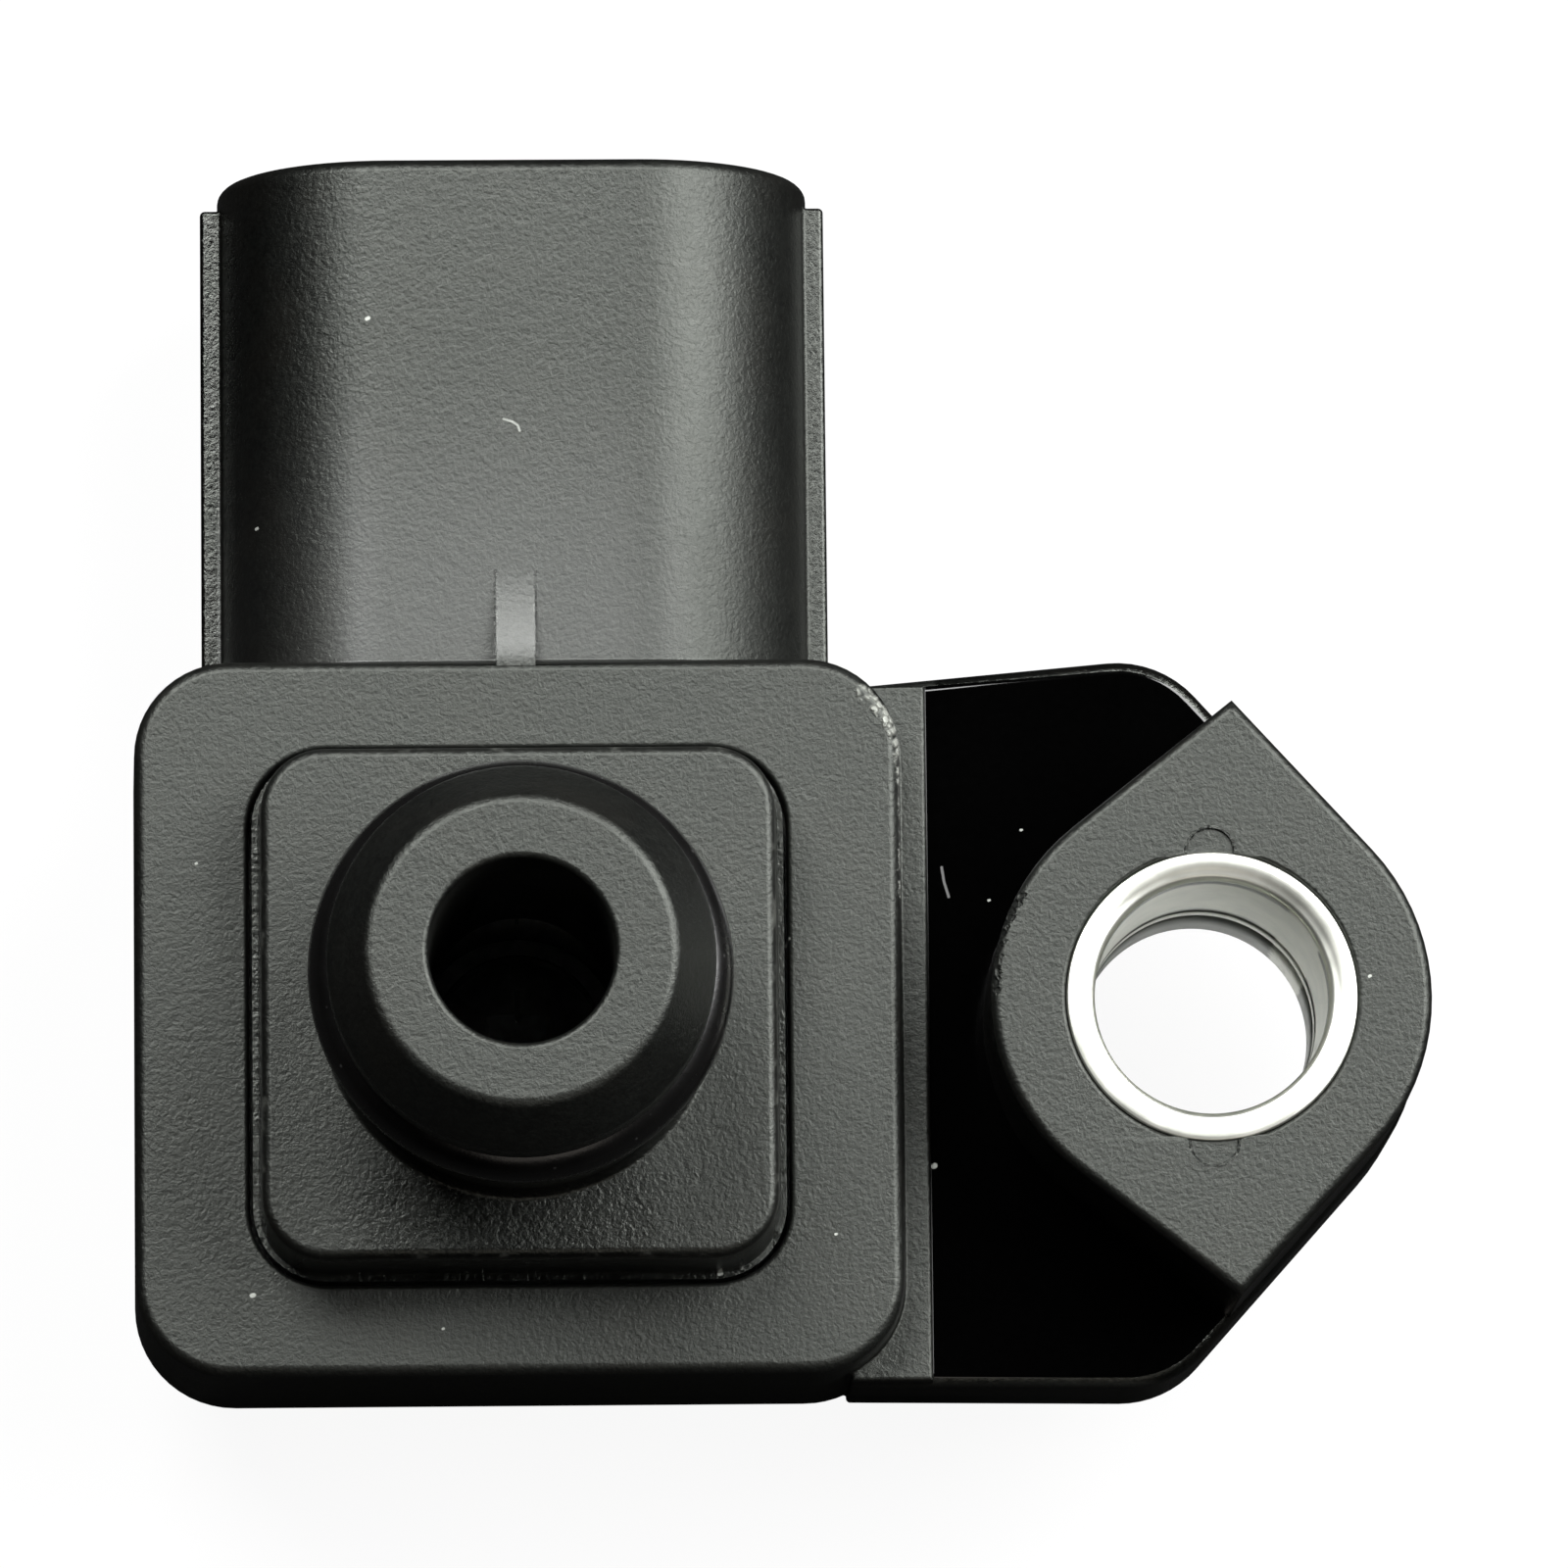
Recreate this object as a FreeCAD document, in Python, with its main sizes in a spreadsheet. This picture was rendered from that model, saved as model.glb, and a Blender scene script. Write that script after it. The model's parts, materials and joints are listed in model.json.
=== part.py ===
import FreeCAD, Part
import math
import os
import re

import Sketcher

from FreeCAD import Placement, Vector

# Manifold absolute pressure sensor, in millimetres and degrees.
# The origin is on the port's axis at the seat plane, which the manifold touches.
# +Z runs out along the port, +X towards the fixing ear and +Y towards the connector.
# A drop or a depth is measured down from the seat plane.

SIZES = {
    # Body block
    "body_width": 21.7,
    "body_height": 20.4,
    "body_corner": 2.7,
    "body_draft": 1.5,
    "face_drop": 3.0,
    "face_edge_chamfer": 0.22,
    "body_depth": 15.0,
    "rear_inset": 0.7,
    "rear_corner": 2.2,
    "rear_edge_chamfer": 0.6,
    "mark_diameter": 2.6,
    "mark_depth": 0.12,
    "mark_inset": 4.2,
    # Fixing ear, measured from the middle of its hole
    "ear_offset": 19.46,
    "ear_end_radius": 6.3,
    "web_drop": 5.5,
    "web_edge_radius": 0.4,
    "shoulder_radius": 3.0,
    "shoulder_back": 2.25,
    "shoulder_side": 7.45,
    "root_inset": 1.5,
    "root_upper": 9.75,
    "root_lower": 10.35,
    "ledge_reach": 0.85,
    "ledge_drop": 5.15,
    "ledge_upper": 9.7,
    "ledge_lower": 10.25,
    "pad_radius": 6.2,
    "pad_corner_forward": 0.69,
    "pad_corner_side": 8.45,
    "pad_edge_chamfer": 0.17,
    "moon_radius": 0.68,
    "moon_depth": 0.1,
    # Fixing sleeve
    "sleeve_outer": 8.2,
    "sleeve_bore": 6.6,
    "sleeve_length": 10.0,
    "sleeve_chamfer": 0.18,
    "sleeve_fit": 0.01,
    # Connector shroud
    "shroud_width": 17.05,
    "shroud_thickness": 9.9,
    "shroud_drop": 8.5,
    "shroud_reach": 24.85,
    "shroud_root": 8.6,
    "shroud_wall": 1.3,
    "shroud_edge_chamfer": 0.25,
    "socket_floor": 11.0,
    "mouth_chamfer": 0.35,
    "side_rib_width": 2.2,
    "side_rib_height": 0.48,
    "side_rib_stop": 0.75,
    "front_rib_width": 1.1,
    "front_rib_height": 0.5,
    "front_rib_reach": 12.95,
    "front_rib_ramp": 2.2,
    "key_rib_width": 0.9,
    "key_rib_height": 0.75,
    "key_rib_offset": 2.3,
    "latch_width": 4.4,
    "latch_height": 1.3,
    "latch_inset": 1.25,
    "latch_length": 3.4,
    "latch_land": 0.9,
    # Chamber and the seat of the cover
    "chamber_width": 11.6,
    "chamber_corner": 0.8,
    "chamber_drop": 10.5,
    "shelf_start": 4.1,
    "groove_inset": 0.55,
    "groove_width": 0.7,
    "groove_depth": 0.4,
    # Port cover
    "flange_width": 15.06,
    "flange_corner": 2.1,
    "flange_drop": 3.05,
    "flange_thickness": 1.4,
    "flange_gap": 0.12,
    "cover_seat_gap": 0.05,
    "boss_width": 14.76,
    "boss_corner": 1.95,
    "boss_draft": 3.0,
    "boss_edge_chamfer": 0.17,
    "cover_wall": 1.5,
    "cover_pocket_width": 10.6,
    "cover_pocket_corner": 1.6,
    # Port and its gland
    "port_diameter": 10.7,
    "port_bore": 5.1,
    "port_height": 10.4,
    "port_root_chamfer": 0.25,
    "gland_start": 4.95,
    "gland_width": 2.5,
    "gland_diameter": 8.0,
    "tip_diameter": 8.5,
    "tip_chamfer_height": 1.65,
    "tip_edge_chamfer": 0.12,
    "ring_section": 1.86,
    "ring_fit": 0.02,
    # Terminals
    "terminal_pitch": 4.2,
    "terminal_width": 2.3,
    "terminal_thickness": 0.64,
    "terminal_reach": 19.6,
    "terminal_point": 0.7,
    "terminal_point_width": 1.4,
    "terminal_bevel": 0.18,
    "terminal_neck": 1.7,
    "terminal_setback": 0.35,
    "terminal_fit": 0.01,
    # Circuit
    "substrate_side_gap": 0.4,
    "substrate_end_gap": 0.25,
    "substrate_thickness": 0.635,
    "substrate_corner": 0.5,
    "substrate_glue": 0.1,
    "glue_inset": 0.5,
    "pedestal_width": 1.8,
    "pedestal_height": 0.7,
    "die_width": 1.6,
    "die_height": 0.35,
    "diaphragm_width": 0.8,
    "diaphragm_depth": 0.1,
    "dam_outer": 5.8,
    "dam_wall": 0.45,
    "dam_height": 2.2,
    "dam_offset": -0.1,
    "gel_fit": 0.02,
    "gel_freeboard": 0.3,
    "chip_width": 1.9,
    "chip_length": 2.6,
    "chip_height": 0.5,
    "chip_inset": 0.35,
    "chip_gap": 0.15,
    "passive_length": 1.6,
    "passive_width": 0.8,
    "passive_height": 0.7,
    "passive_cap": 0.3,
    "passive_cap_step": 0.03,
    "passive_side_inset": 0.9,
    "passive_edge_inset": 0.85,
    "passive_pitch": 2.1,
    "wire_width": 0.12,
    "wire_loop": 0.3,
    "wire_knee": 0.4,
    "terminal_wire_run": 1.35,
    "terminal_wire_inset": 0.45,
    "die_wire_inset": 0.2,
    "die_wire_run": 1.05,
}

UP = Vector(0, 0, 1)
NEAR = 0.01

document = FreeCAD.newDocument("PressureSensor")
sheet = document.addObject("Spreadsheet::Sheet", "Sizes")
for row, (alias, size) in enumerate(SIZES.items(), start=1):
    sheet.set(f"A{row}", alias)
    sheet.set(f"B{row}", str(size))
    sheet.setAlias(f"B{row}", alias)
document.recompute()

# Levels and places that several pieces share, as formulas of the sizes above
FACE = "-face_drop"
EAR_BACK = "-sleeve_length"
BACK = "-body_depth"
FLANGE_TOP = "-flange_drop"
FLANGE_UNDER = "-flange_drop - flange_thickness"
COVER_SEAT = f"{FLANGE_UNDER} - cover_seat_gap"
TERMINAL_UNDER = "-shroud_drop - terminal_thickness / 2"
TERMINAL_TOP = "-shroud_drop + terminal_thickness / 2"
SHELF = f"{TERMINAL_UNDER} - terminal_fit"
CHAMBER_FLOOR = "-chamber_drop"
SUBSTRATE_UNDER = f"{CHAMBER_FLOOR} + substrate_glue"
SUBSTRATE_TOP = f"{SUBSTRATE_UNDER} + substrate_thickness"
DIE_UNDER = f"{SUBSTRATE_TOP} + pedestal_height"
DIE_TOP = f"{DIE_UNDER} + die_height"
GEL_TOP = f"{SUBSTRATE_TOP} + dam_height - gel_freeboard"
TERMINAL_END = "(shelf_start + terminal_setback)"
WELL_HEIGHT = "(chamber_width / 2 + shelf_start)"
WELL_MIDDLE = f"(shelf_start - {WELL_HEIGHT} / 2)"
SUBSTRATE_WIDTH = "(chamber_width - 2 * substrate_side_gap)"
SUBSTRATE_HEIGHT = f"({WELL_HEIGHT} - 2 * substrate_end_gap)"
PASSIVE_Y = f"({WELL_MIDDLE} - {SUBSTRATE_HEIGHT} / 2 + passive_edge_inset)"
CHIP_X = f"(chip_inset + chip_width / 2 - {SUBSTRATE_WIDTH} / 2)"
CHIP_Y = f"({PASSIVE_Y} + passive_width / 2 + passive_cap_step + chip_gap + chip_length / 2)"
RING_LEVEL = "gland_start + gland_width / 2"
RING_RADIUS = "gland_diameter / 2 + ring_fit + ring_section / 2"


def cells(formula):
    """Turns each size named in a formula into a reference to its cell."""
    return re.sub("[a-z_]+", lambda word: f"Sizes.{word[0]}", formula)


def number(formula):
    """The formula's value now."""
    return float(sheet.evalExpression(cells(formula)))


def bind(thing, setting, formula):
    """Makes one property of an object follow the formula."""
    thing.setExpression(setting, cells(formula))


def place(thing, x="0", y="0", z="0"):
    """Makes a sub-part's place follow three formulas."""
    for axis, formula in zip("xyz", (x, y, z)):
        bind(thing, f"Placement.Base.{axis}", formula)


# Sketches

def new_body(name):
    """A moulded, turned or cut piece, in a body of its own."""
    body = document.addObject("PartDesign::Body", name)
    body.Label = name
    return body


def new_sketch(body, name, role="XY_Plane", across="0", up="0", out="0"):
    """A sketch on one of the body's own planes, moved across, up and out along its normal."""
    sketch = body.newObject("Sketcher::SketchObject", name)
    plane = next(item for item in body.Origin.OriginFeatures if item.Role == role)
    sketch.AttachmentSupport = (plane, [""])
    sketch.MapMode = "FlatFace"
    for axis, formula in zip("xyz", (across, up, out)):
        bind(sketch, f"AttachmentOffset.Base.{axis}", formula)
    return sketch


def drive(sketch, formula, kind, *where):
    """Adds a constraint whose value follows the formula."""
    index = sketch.addConstraint(Sketcher.Constraint(kind, *where, number(formula)))
    name = f"{kind}_{index}"
    sketch.renameConstraint(index, name)
    bind(sketch, f"Constraints.{name}", formula)


def hold(sketch, kind, *where):
    """Adds a constraint that has no value."""
    sketch.addConstraint(Sketcher.Constraint(kind, *where))


def fix_point(sketch, item, vertex, x, y):
    """Holds a point of the sketch at two formulas; a 0 puts it on the axis."""
    if x == "0":
        hold(sketch, "PointOnObject", item, vertex, -2)
    else:
        drive(sketch, x, "DistanceX", -1, 1, item, vertex)
    if y == "0":
        hold(sketch, "PointOnObject", item, vertex, -1)
    else:
        drive(sketch, y, "DistanceY", -1, 1, item, vertex)


def add_line(sketch, start, end):
    return sketch.addGeometry(Part.LineSegment(Vector(*start, 0), Vector(*end, 0)), False)


def add_arc(sketch, centre, radius, start, end):
    circle = Part.Circle(Vector(*centre, 0), UP, radius)
    return sketch.addGeometry(Part.ArcOfCircle(circle, start, end), False)


def add_circle(sketch, radius, x="0", y="0"):
    """A circle with its middle at two formulas."""
    centre = Vector(number(x), number(y), 0)
    item = sketch.addGeometry(Part.Circle(centre, UP, number(radius)), False)
    drive(sketch, radius, "Radius", item)
    fix_point(sketch, item, 3, x, y)


def polygon(sketch, corners):
    """A closed outline of straight lines with each corner at two formulas."""
    points = [(number(x), number(y)) for x, y in corners]
    lines = [add_line(sketch, a, b) for a, b in zip(points, points[1:] + points[:1])]
    for line, following in zip(lines, lines[1:] + lines[:1]):
        hold(sketch, "Coincident", line, 2, following, 1)
    for line, (x, y) in zip(lines, corners):
        fix_point(sketch, line, 1, x, y)


def rectangle(sketch, left, right, low, high):
    polygon(sketch, [(left, low), (right, low), (right, high), (left, high)])


def chain(sketch, items):
    """Joins each line or arc of a closed outline to the next one, end to start and tangent."""
    for item, following in zip(items, items[1:] + items[:1]):
        hold(sketch, "Tangent", item, 2, following, 1)


def rounded_rectangle(sketch, width, height, corner):
    """A rectangle with round corners about the sketch's origin."""
    radius = number(corner)
    reach_x = number(width) / 2 - radius
    reach_y = number(height) / 2 - radius
    quarter = math.pi / 2
    middles = [(reach_x, reach_y), (-reach_x, reach_y), (-reach_x, -reach_y), (reach_x, -reach_y)]
    arcs = [
        add_arc(sketch, middle, radius, turn * quarter, (turn + 1) * quarter)
        for turn, middle in enumerate(middles)
    ]
    ends = [(0, radius), (-radius, 0), (0, -radius), (radius, 0)]
    lines = [
        add_line(
            sketch,
            (middle[0] + step[0], middle[1] + step[1]),
            (following[0] + step[0], following[1] + step[1]),
        )
        for middle, following, step in zip(middles, middles[1:] + middles[:1], ends)
    ]
    chain(sketch, [item for pair in zip(arcs, lines) for item in pair])
    for top_or_bottom in lines[0::2]:
        hold(sketch, "Horizontal", top_or_bottom)
    for side in lines[1::2]:
        hold(sketch, "Vertical", side)
    for arc in arcs[1:]:
        hold(sketch, "Equal", arcs[0], arc)
    hold(sketch, "Symmetric", arcs[0], 3, arcs[2], 3, -1, 1)
    drive(sketch, corner, "Radius", arcs[0])
    drive(sketch, width, "DistanceX", lines[1], 1, lines[3], 1)
    drive(sketch, height, "DistanceY", lines[2], 1, lines[0], 1)


def stadium(sketch, width, thickness):
    """Two parallel sides closed by half circles, about the sketch's origin."""
    radius = number(thickness) / 2
    reach = number(width) / 2 - radius
    right = add_arc(sketch, (reach, 0), radius, -math.pi / 2, math.pi / 2)
    left = add_arc(sketch, (-reach, 0), radius, math.pi / 2, 3 * math.pi / 2)
    top = add_line(sketch, (reach, radius), (-reach, radius))
    bottom = add_line(sketch, (-reach, -radius), (reach, -radius))
    chain(sketch, [right, top, left, bottom])
    hold(sketch, "Horizontal", top)
    hold(sketch, "Horizontal", bottom)
    hold(sketch, "Symmetric", right, 3, left, 3, -1, 1)
    drive(sketch, f"({thickness}) / 2", "Radius", right)
    drive(sketch, f"({width}) - ({thickness})", "DistanceX", left, 3, right, 3)


def tangent_angle(from_point, from_radius, to_point, to_radius, side):
    """Direction, from either middle, of the points where a line touches two circles on one side."""
    run = math.hypot(to_point[0] - from_point[0], to_point[1] - from_point[1])
    heading = math.atan2(to_point[1] - from_point[1], to_point[0] - from_point[0])
    return heading + side * math.acos((from_radius - to_radius) / run)


def on_circle(centre, radius, angle):
    return (centre[0] + radius * math.cos(angle), centre[1] + radius * math.sin(angle))


def ear_outline(sketch, root):
    """The ear's edge about its hole: a round end, two flanks, two round shoulders and a straight root."""
    end_radius = number("ear_end_radius")
    shoulder_radius = number("shoulder_radius")
    upper = (-number("shoulder_back"), number("shoulder_side"))
    lower = (upper[0], -upper[1])
    root_top = (number(root), number("root_upper"))
    root_foot = (number(root), -number("root_lower"))
    flank = tangent_angle(upper, shoulder_radius, (0, 0), end_radius, 1)
    top = tangent_angle(root_top, 0, upper, shoulder_radius, 1)
    foot = tangent_angle(root_foot, 0, lower, shoulder_radius, -1)
    end = add_arc(sketch, (0, 0), end_radius, -flank, flank)
    upper_flank = add_line(
        sketch, on_circle((0, 0), end_radius, flank), on_circle(upper, shoulder_radius, flank)
    )
    upper_arc = add_arc(sketch, upper, shoulder_radius, flank, top)
    upper_edge = add_line(sketch, on_circle(upper, shoulder_radius, top), root_top)
    root_line = add_line(sketch, root_top, root_foot)
    lower_edge = add_line(sketch, root_foot, on_circle(lower, shoulder_radius, foot))
    lower_arc = add_arc(sketch, lower, shoulder_radius, foot, -flank)
    lower_flank = add_line(
        sketch, on_circle(lower, shoulder_radius, -flank), on_circle((0, 0), end_radius, -flank)
    )
    round_run = [lower_edge, lower_arc, lower_flank, end, upper_flank, upper_arc, upper_edge]
    for item, following in zip(round_run, round_run[1:]):
        hold(sketch, "Tangent", item, 2, following, 1)
    hold(sketch, "Coincident", upper_edge, 2, root_line, 1)
    hold(sketch, "Coincident", root_line, 2, lower_edge, 1)
    hold(sketch, "Coincident", end, 3, -1, 1)
    drive(sketch, "ear_end_radius", "Radius", end)
    drive(sketch, "shoulder_radius", "Radius", upper_arc)
    hold(sketch, "Equal", upper_arc, lower_arc)
    fix_point(sketch, upper_arc, 3, "-shoulder_back", "shoulder_side")
    fix_point(sketch, lower_arc, 3, "-shoulder_back", "-shoulder_side")
    fix_point(sketch, root_line, 1, root, "root_upper")
    fix_point(sketch, root_line, 2, root, "-root_lower")


def pad_outline(sketch):
    """The raised pad about the hole: a circle drawn out to a corner on each side by its tangents."""
    radius = number("pad_radius")
    corner = (number("pad_corner_forward"), number("pad_corner_side"))
    foot = (corner[0], -corner[1])
    front = tangent_angle(corner, 0, (0, 0), radius, 1)
    back = tangent_angle(corner, 0, (0, 0), radius, -1) + 2 * math.pi
    front_arc = add_arc(sketch, (0, 0), radius, -front, front)
    upper_front = add_line(sketch, on_circle((0, 0), radius, front), corner)
    upper_back = add_line(sketch, corner, on_circle((0, 0), radius, back))
    back_arc = add_arc(sketch, (0, 0), radius, back, 2 * math.pi - back)
    lower_back = add_line(sketch, on_circle((0, 0), radius, -back), foot)
    lower_front = add_line(sketch, foot, on_circle((0, 0), radius, -front))
    hold(sketch, "Tangent", front_arc, 2, upper_front, 1)
    hold(sketch, "Coincident", upper_front, 2, upper_back, 1)
    hold(sketch, "Tangent", upper_back, 2, back_arc, 1)
    hold(sketch, "Tangent", back_arc, 2, lower_back, 1)
    hold(sketch, "Coincident", lower_back, 2, lower_front, 1)
    hold(sketch, "Tangent", lower_front, 2, front_arc, 1)
    hold(sketch, "Coincident", front_arc, 3, -1, 1)
    hold(sketch, "Coincident", back_arc, 3, -1, 1)
    hold(sketch, "Equal", front_arc, back_arc)
    drive(sketch, "pad_radius", "Radius", front_arc)
    fix_point(sketch, upper_back, 1, "pad_corner_forward", "pad_corner_side")
    fix_point(sketch, lower_front, 1, "pad_corner_forward", "-pad_corner_side")


# Features

def extrude(body, kind, sketch, length, backwards=False, both_ways=False, draft=None):
    """A pad or pocket of one sketch. Backwards turns it against the direction it takes by itself."""
    feature = body.newObject(f"PartDesign::{kind}", f"{sketch.Name}_{kind}")
    feature.Profile = sketch
    feature.Reversed = backwards
    feature.Midplane = both_ways
    bind(feature, "Length", length)
    if draft:
        bind(feature, "TaperAngle", draft)
    sketch.Visibility = False
    document.recompute()
    return feature


def turn(body, sketch):
    """A full turn of a profile about the sketch's upright axis."""
    feature = body.newObject("PartDesign::Revolution", f"{sketch.Name}_turned")
    feature.Profile = sketch
    feature.ReferenceAxis = (sketch, ["V_Axis"])
    feature.Angle = 360
    sketch.Visibility = False
    document.recompute()
    return feature


def dress(body, kind, size, name, test):
    """A fillet or chamfer on the edges of the tip that pass the test."""
    base = body.Tip
    edges = [f"Edge{index}" for index, edge in enumerate(base.Shape.Edges, start=1) if test(edge)]
    feature = body.newObject(f"PartDesign::{kind}", name)
    feature.Base = (base, edges)
    bind(feature, {"Fillet": "Radius", "Chamfer": "Size"}[kind], size)
    document.recompute()
    return feature


def at_level(axis, level, tests=()):
    """A test for edges that lie whole in one plane across an axis, and pass every further test."""
    def passes(edge):
        low, high = getattr(edge.BoundBox, f"{axis}Min"), getattr(edge.BoundBox, f"{axis}Max")
        flat = abs(low - level) < NEAR and abs(high - level) < NEAR
        return flat and all(test(edge.BoundBox) for test in tests)
    return passes


def pattern_along_x(body, feature, length, count):
    """Repeats a feature along X over a length."""
    pattern = body.newObject("PartDesign::LinearPattern", f"{feature.Name}_row")
    pattern.Originals = [feature]
    axis = next(item for item in body.Origin.OriginFeatures if item.Role == "X_Axis")
    pattern.Direction = (axis, [""])
    pattern.Occurrences = count
    bind(pattern, "Length", length)
    body.Tip = pattern
    document.recompute()
    return pattern


def mirror(body, features, role):
    """Mirrors features in one of the body's own planes."""
    mirrored = body.newObject("PartDesign::Mirrored", f"{features[0].Name}_mirror")
    mirrored.Originals = features
    plane = next(item for item in body.Origin.OriginFeatures if item.Role == role)
    mirrored.MirrorPlane = (plane, [""])
    body.Tip = mirrored
    document.recompute()
    return mirrored


# Housing

def add_block(body):
    """The block behind the face, drafted to the ear's back, and a set-in rear half."""
    front = new_sketch(body, "front_block", out=FACE)
    rounded_rectangle(front, "body_width", "body_height", "body_corner")
    extrude(body, "Pad", front, "sleeve_length - face_drop", backwards=True, draft="body_draft")
    dress(body, "Chamfer", "face_edge_chamfer", "face_edge", at_level("Z", number(FACE)))
    rear = new_sketch(body, "rear_block", out=EAR_BACK)
    width, height = "body_width - 2 * rear_inset", "body_height - 2 * rear_inset"
    rounded_rectangle(rear, width, height, "rear_corner")
    extrude(body, "Pad", rear, "body_depth - sleeve_length", backwards=True)
    dress(body, "Chamfer", "rear_edge_chamfer", "rear_edge", at_level("Z", number(BACK)))


def add_ear(body):
    """The ear: a web level with the sleeve's back, a ledge at its root and a pad up to the seat plane."""
    web = new_sketch(body, "ear_web", across="ear_offset", out="-web_drop")
    ear_outline(web, "body_width / 2 - root_inset - ear_offset")
    extrude(body, "Pad", web, "sleeve_length - web_drop", backwards=True)
    past_block = number("body_width / 2 + ledge_reach / 2")
    outer = at_level("Z", -number("web_drop"), [lambda box: box.XMax > past_block])
    dress(body, "Fillet", "web_edge_radius", "web_edge", outer)
    ledge = new_sketch(body, "ledge", out="-ledge_drop")
    reach = ("body_width / 2 - root_inset", "body_width / 2 + ledge_reach")
    rectangle(ledge, *reach, "-ledge_lower", "ledge_upper")
    extrude(body, "Pad", ledge, "sleeve_length - ledge_drop", backwards=True)
    pad = new_sketch(body, "ear_pad", across="ear_offset")
    pad_outline(pad)
    extrude(body, "Pad", pad, "sleeve_length", backwards=True)
    dress(body, "Chamfer", "pad_edge_chamfer", "pad_edge", at_level("Z", 0))


def add_shroud(body):
    """The oval connector shroud, with a rib on each side, one in front and a latch ramp behind."""
    tube = new_sketch(body, "shroud", "XZ_Plane", up="-shroud_drop", out="-shroud_root")
    stadium(tube, "shroud_width", "shroud_thickness")
    extrude(body, "Pad", tube, "shroud_reach - shroud_root", backwards=True)
    mouth = at_level("Y", number("shroud_reach"))
    dress(body, "Chamfer", "shroud_edge_chamfer", "mouth_edge", mouth)
    ribs = new_sketch(body, "side_ribs", "XZ_Plane", up="-shroud_drop", out="-shroud_root")
    half = "shroud_width / 2 + side_rib_height"
    rectangle(ribs, f"-({half})", half, "-side_rib_width / 2", "side_rib_width / 2")
    extrude(body, "Pad", ribs, "shroud_reach - side_rib_stop - shroud_root", backwards=True)
    in_wall = "(shroud_thickness - shroud_wall) / 2"
    front_rib = new_sketch(body, "front_rib", "YZ_Plane")
    front = "shroud_thickness / 2 - shroud_drop"
    crest = f"{front} + front_rib_height"
    polygon(front_rib, [
        ("shroud_root", f"{in_wall} - shroud_drop"),
        ("front_rib_reach", f"{in_wall} - shroud_drop"),
        ("front_rib_reach", front),
        ("front_rib_reach - front_rib_ramp", crest),
        ("shroud_root", crest),
    ])
    extrude(body, "Pad", front_rib, "front_rib_width", both_ways=True)
    latch = new_sketch(body, "latch", "YZ_Plane")
    back = "-shroud_drop - shroud_thickness / 2"
    toe = "shroud_reach - latch_inset"
    heel = f"{toe} - latch_length"
    polygon(latch, [
        (heel, f"-shroud_drop - {in_wall}"),
        (heel, f"{back} - latch_height"),
        (f"{heel} + latch_land", f"{back} - latch_height"),
        (toe, back),
        (toe, f"-shroud_drop - {in_wall}"),
    ])
    extrude(body, "Pad", latch, "latch_width", both_ways=True)


def cut_socket(body):
    """The socket in the shroud, its key ribs and the slots that the terminals pass through."""
    socket = new_sketch(body, "socket", "XZ_Plane", up="-shroud_drop", out="-shroud_reach")
    inner_width = "shroud_width - 2 * shroud_wall"
    inner_thickness = "shroud_thickness - 2 * shroud_wall"
    stadium(socket, inner_width, inner_thickness)
    extrude(body, "Pocket", socket, "shroud_reach - socket_floor", backwards=True)
    inner = [lambda box: box.XMax < number(f"({inner_width}) / 2 + shroud_wall / 2")]
    inner.append(lambda box: box.ZMax < number("shroud_thickness / 2 - shroud_wall / 2 - shroud_drop"))
    inner.append(lambda box: box.ZMin > number("shroud_wall / 2 - shroud_thickness / 2 - shroud_drop"))
    mouth = at_level("Y", number("shroud_reach"), inner)
    dress(body, "Chamfer", "mouth_chamfer", "mouth_lead_in", mouth)
    key = new_sketch(body, "key_rib", "XZ_Plane", up="-shroud_drop", out="-socket_floor")
    top = "shroud_thickness / 2 - shroud_wall / 2"
    foot = "shroud_thickness / 2 - shroud_wall - key_rib_height"
    rectangle(key, "key_rib_offset - key_rib_width / 2", "key_rib_offset + key_rib_width / 2", foot, top)
    length = "shroud_reach - mouth_chamfer - shroud_wall - socket_floor"
    mirror(body, [extrude(body, "Pad", key, length, backwards=True)], "YZ_Plane")
    slot = new_sketch(body, "terminal_slot", "XZ_Plane", up="-shroud_drop", out="-socket_floor")
    half_width = "(terminal_neck / 2 + terminal_fit)"
    half_height = "(terminal_thickness / 2 + terminal_fit)"
    rectangle(slot, f"-terminal_pitch - {half_width}", f"-terminal_pitch + {half_width}",
              f"-{half_height}", half_height)
    length = f"socket_floor - {TERMINAL_END} + terminal_fit"
    first = extrude(body, "Pocket", slot, length, backwards=True)
    pattern_along_x(body, first, "2 * terminal_pitch", 3)


def cut_chamber(body):
    """The chamber under the cover, with a shelf for the terminals and a seat round its mouth."""
    opening = "flange_width + 2 * flange_gap"
    seat = new_sketch(body, "cover_seat", out=FACE)
    rounded_rectangle(seat, opening, opening, "flange_corner + flange_gap")
    extrude(body, "Pocket", seat, f"{FACE} - ({COVER_SEAT})")
    chamber = new_sketch(body, "chamber", out=COVER_SEAT)
    rounded_rectangle(chamber, "chamber_width", "chamber_width", "chamber_corner")
    extrude(body, "Pocket", chamber, f"{COVER_SEAT} - ({SHELF})")
    deep = new_sketch(body, "well", up=WELL_MIDDLE, out=SHELF)
    rounded_rectangle(deep, "chamber_width", WELL_HEIGHT, "chamber_corner")
    extrude(body, "Pocket", deep, f"{SHELF} - ({CHAMBER_FLOOR})")
    groove = new_sketch(body, "glue_groove", out=COVER_SEAT)
    glue_outline(groove, "0")
    extrude(body, "Pocket", groove, "groove_depth")


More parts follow.
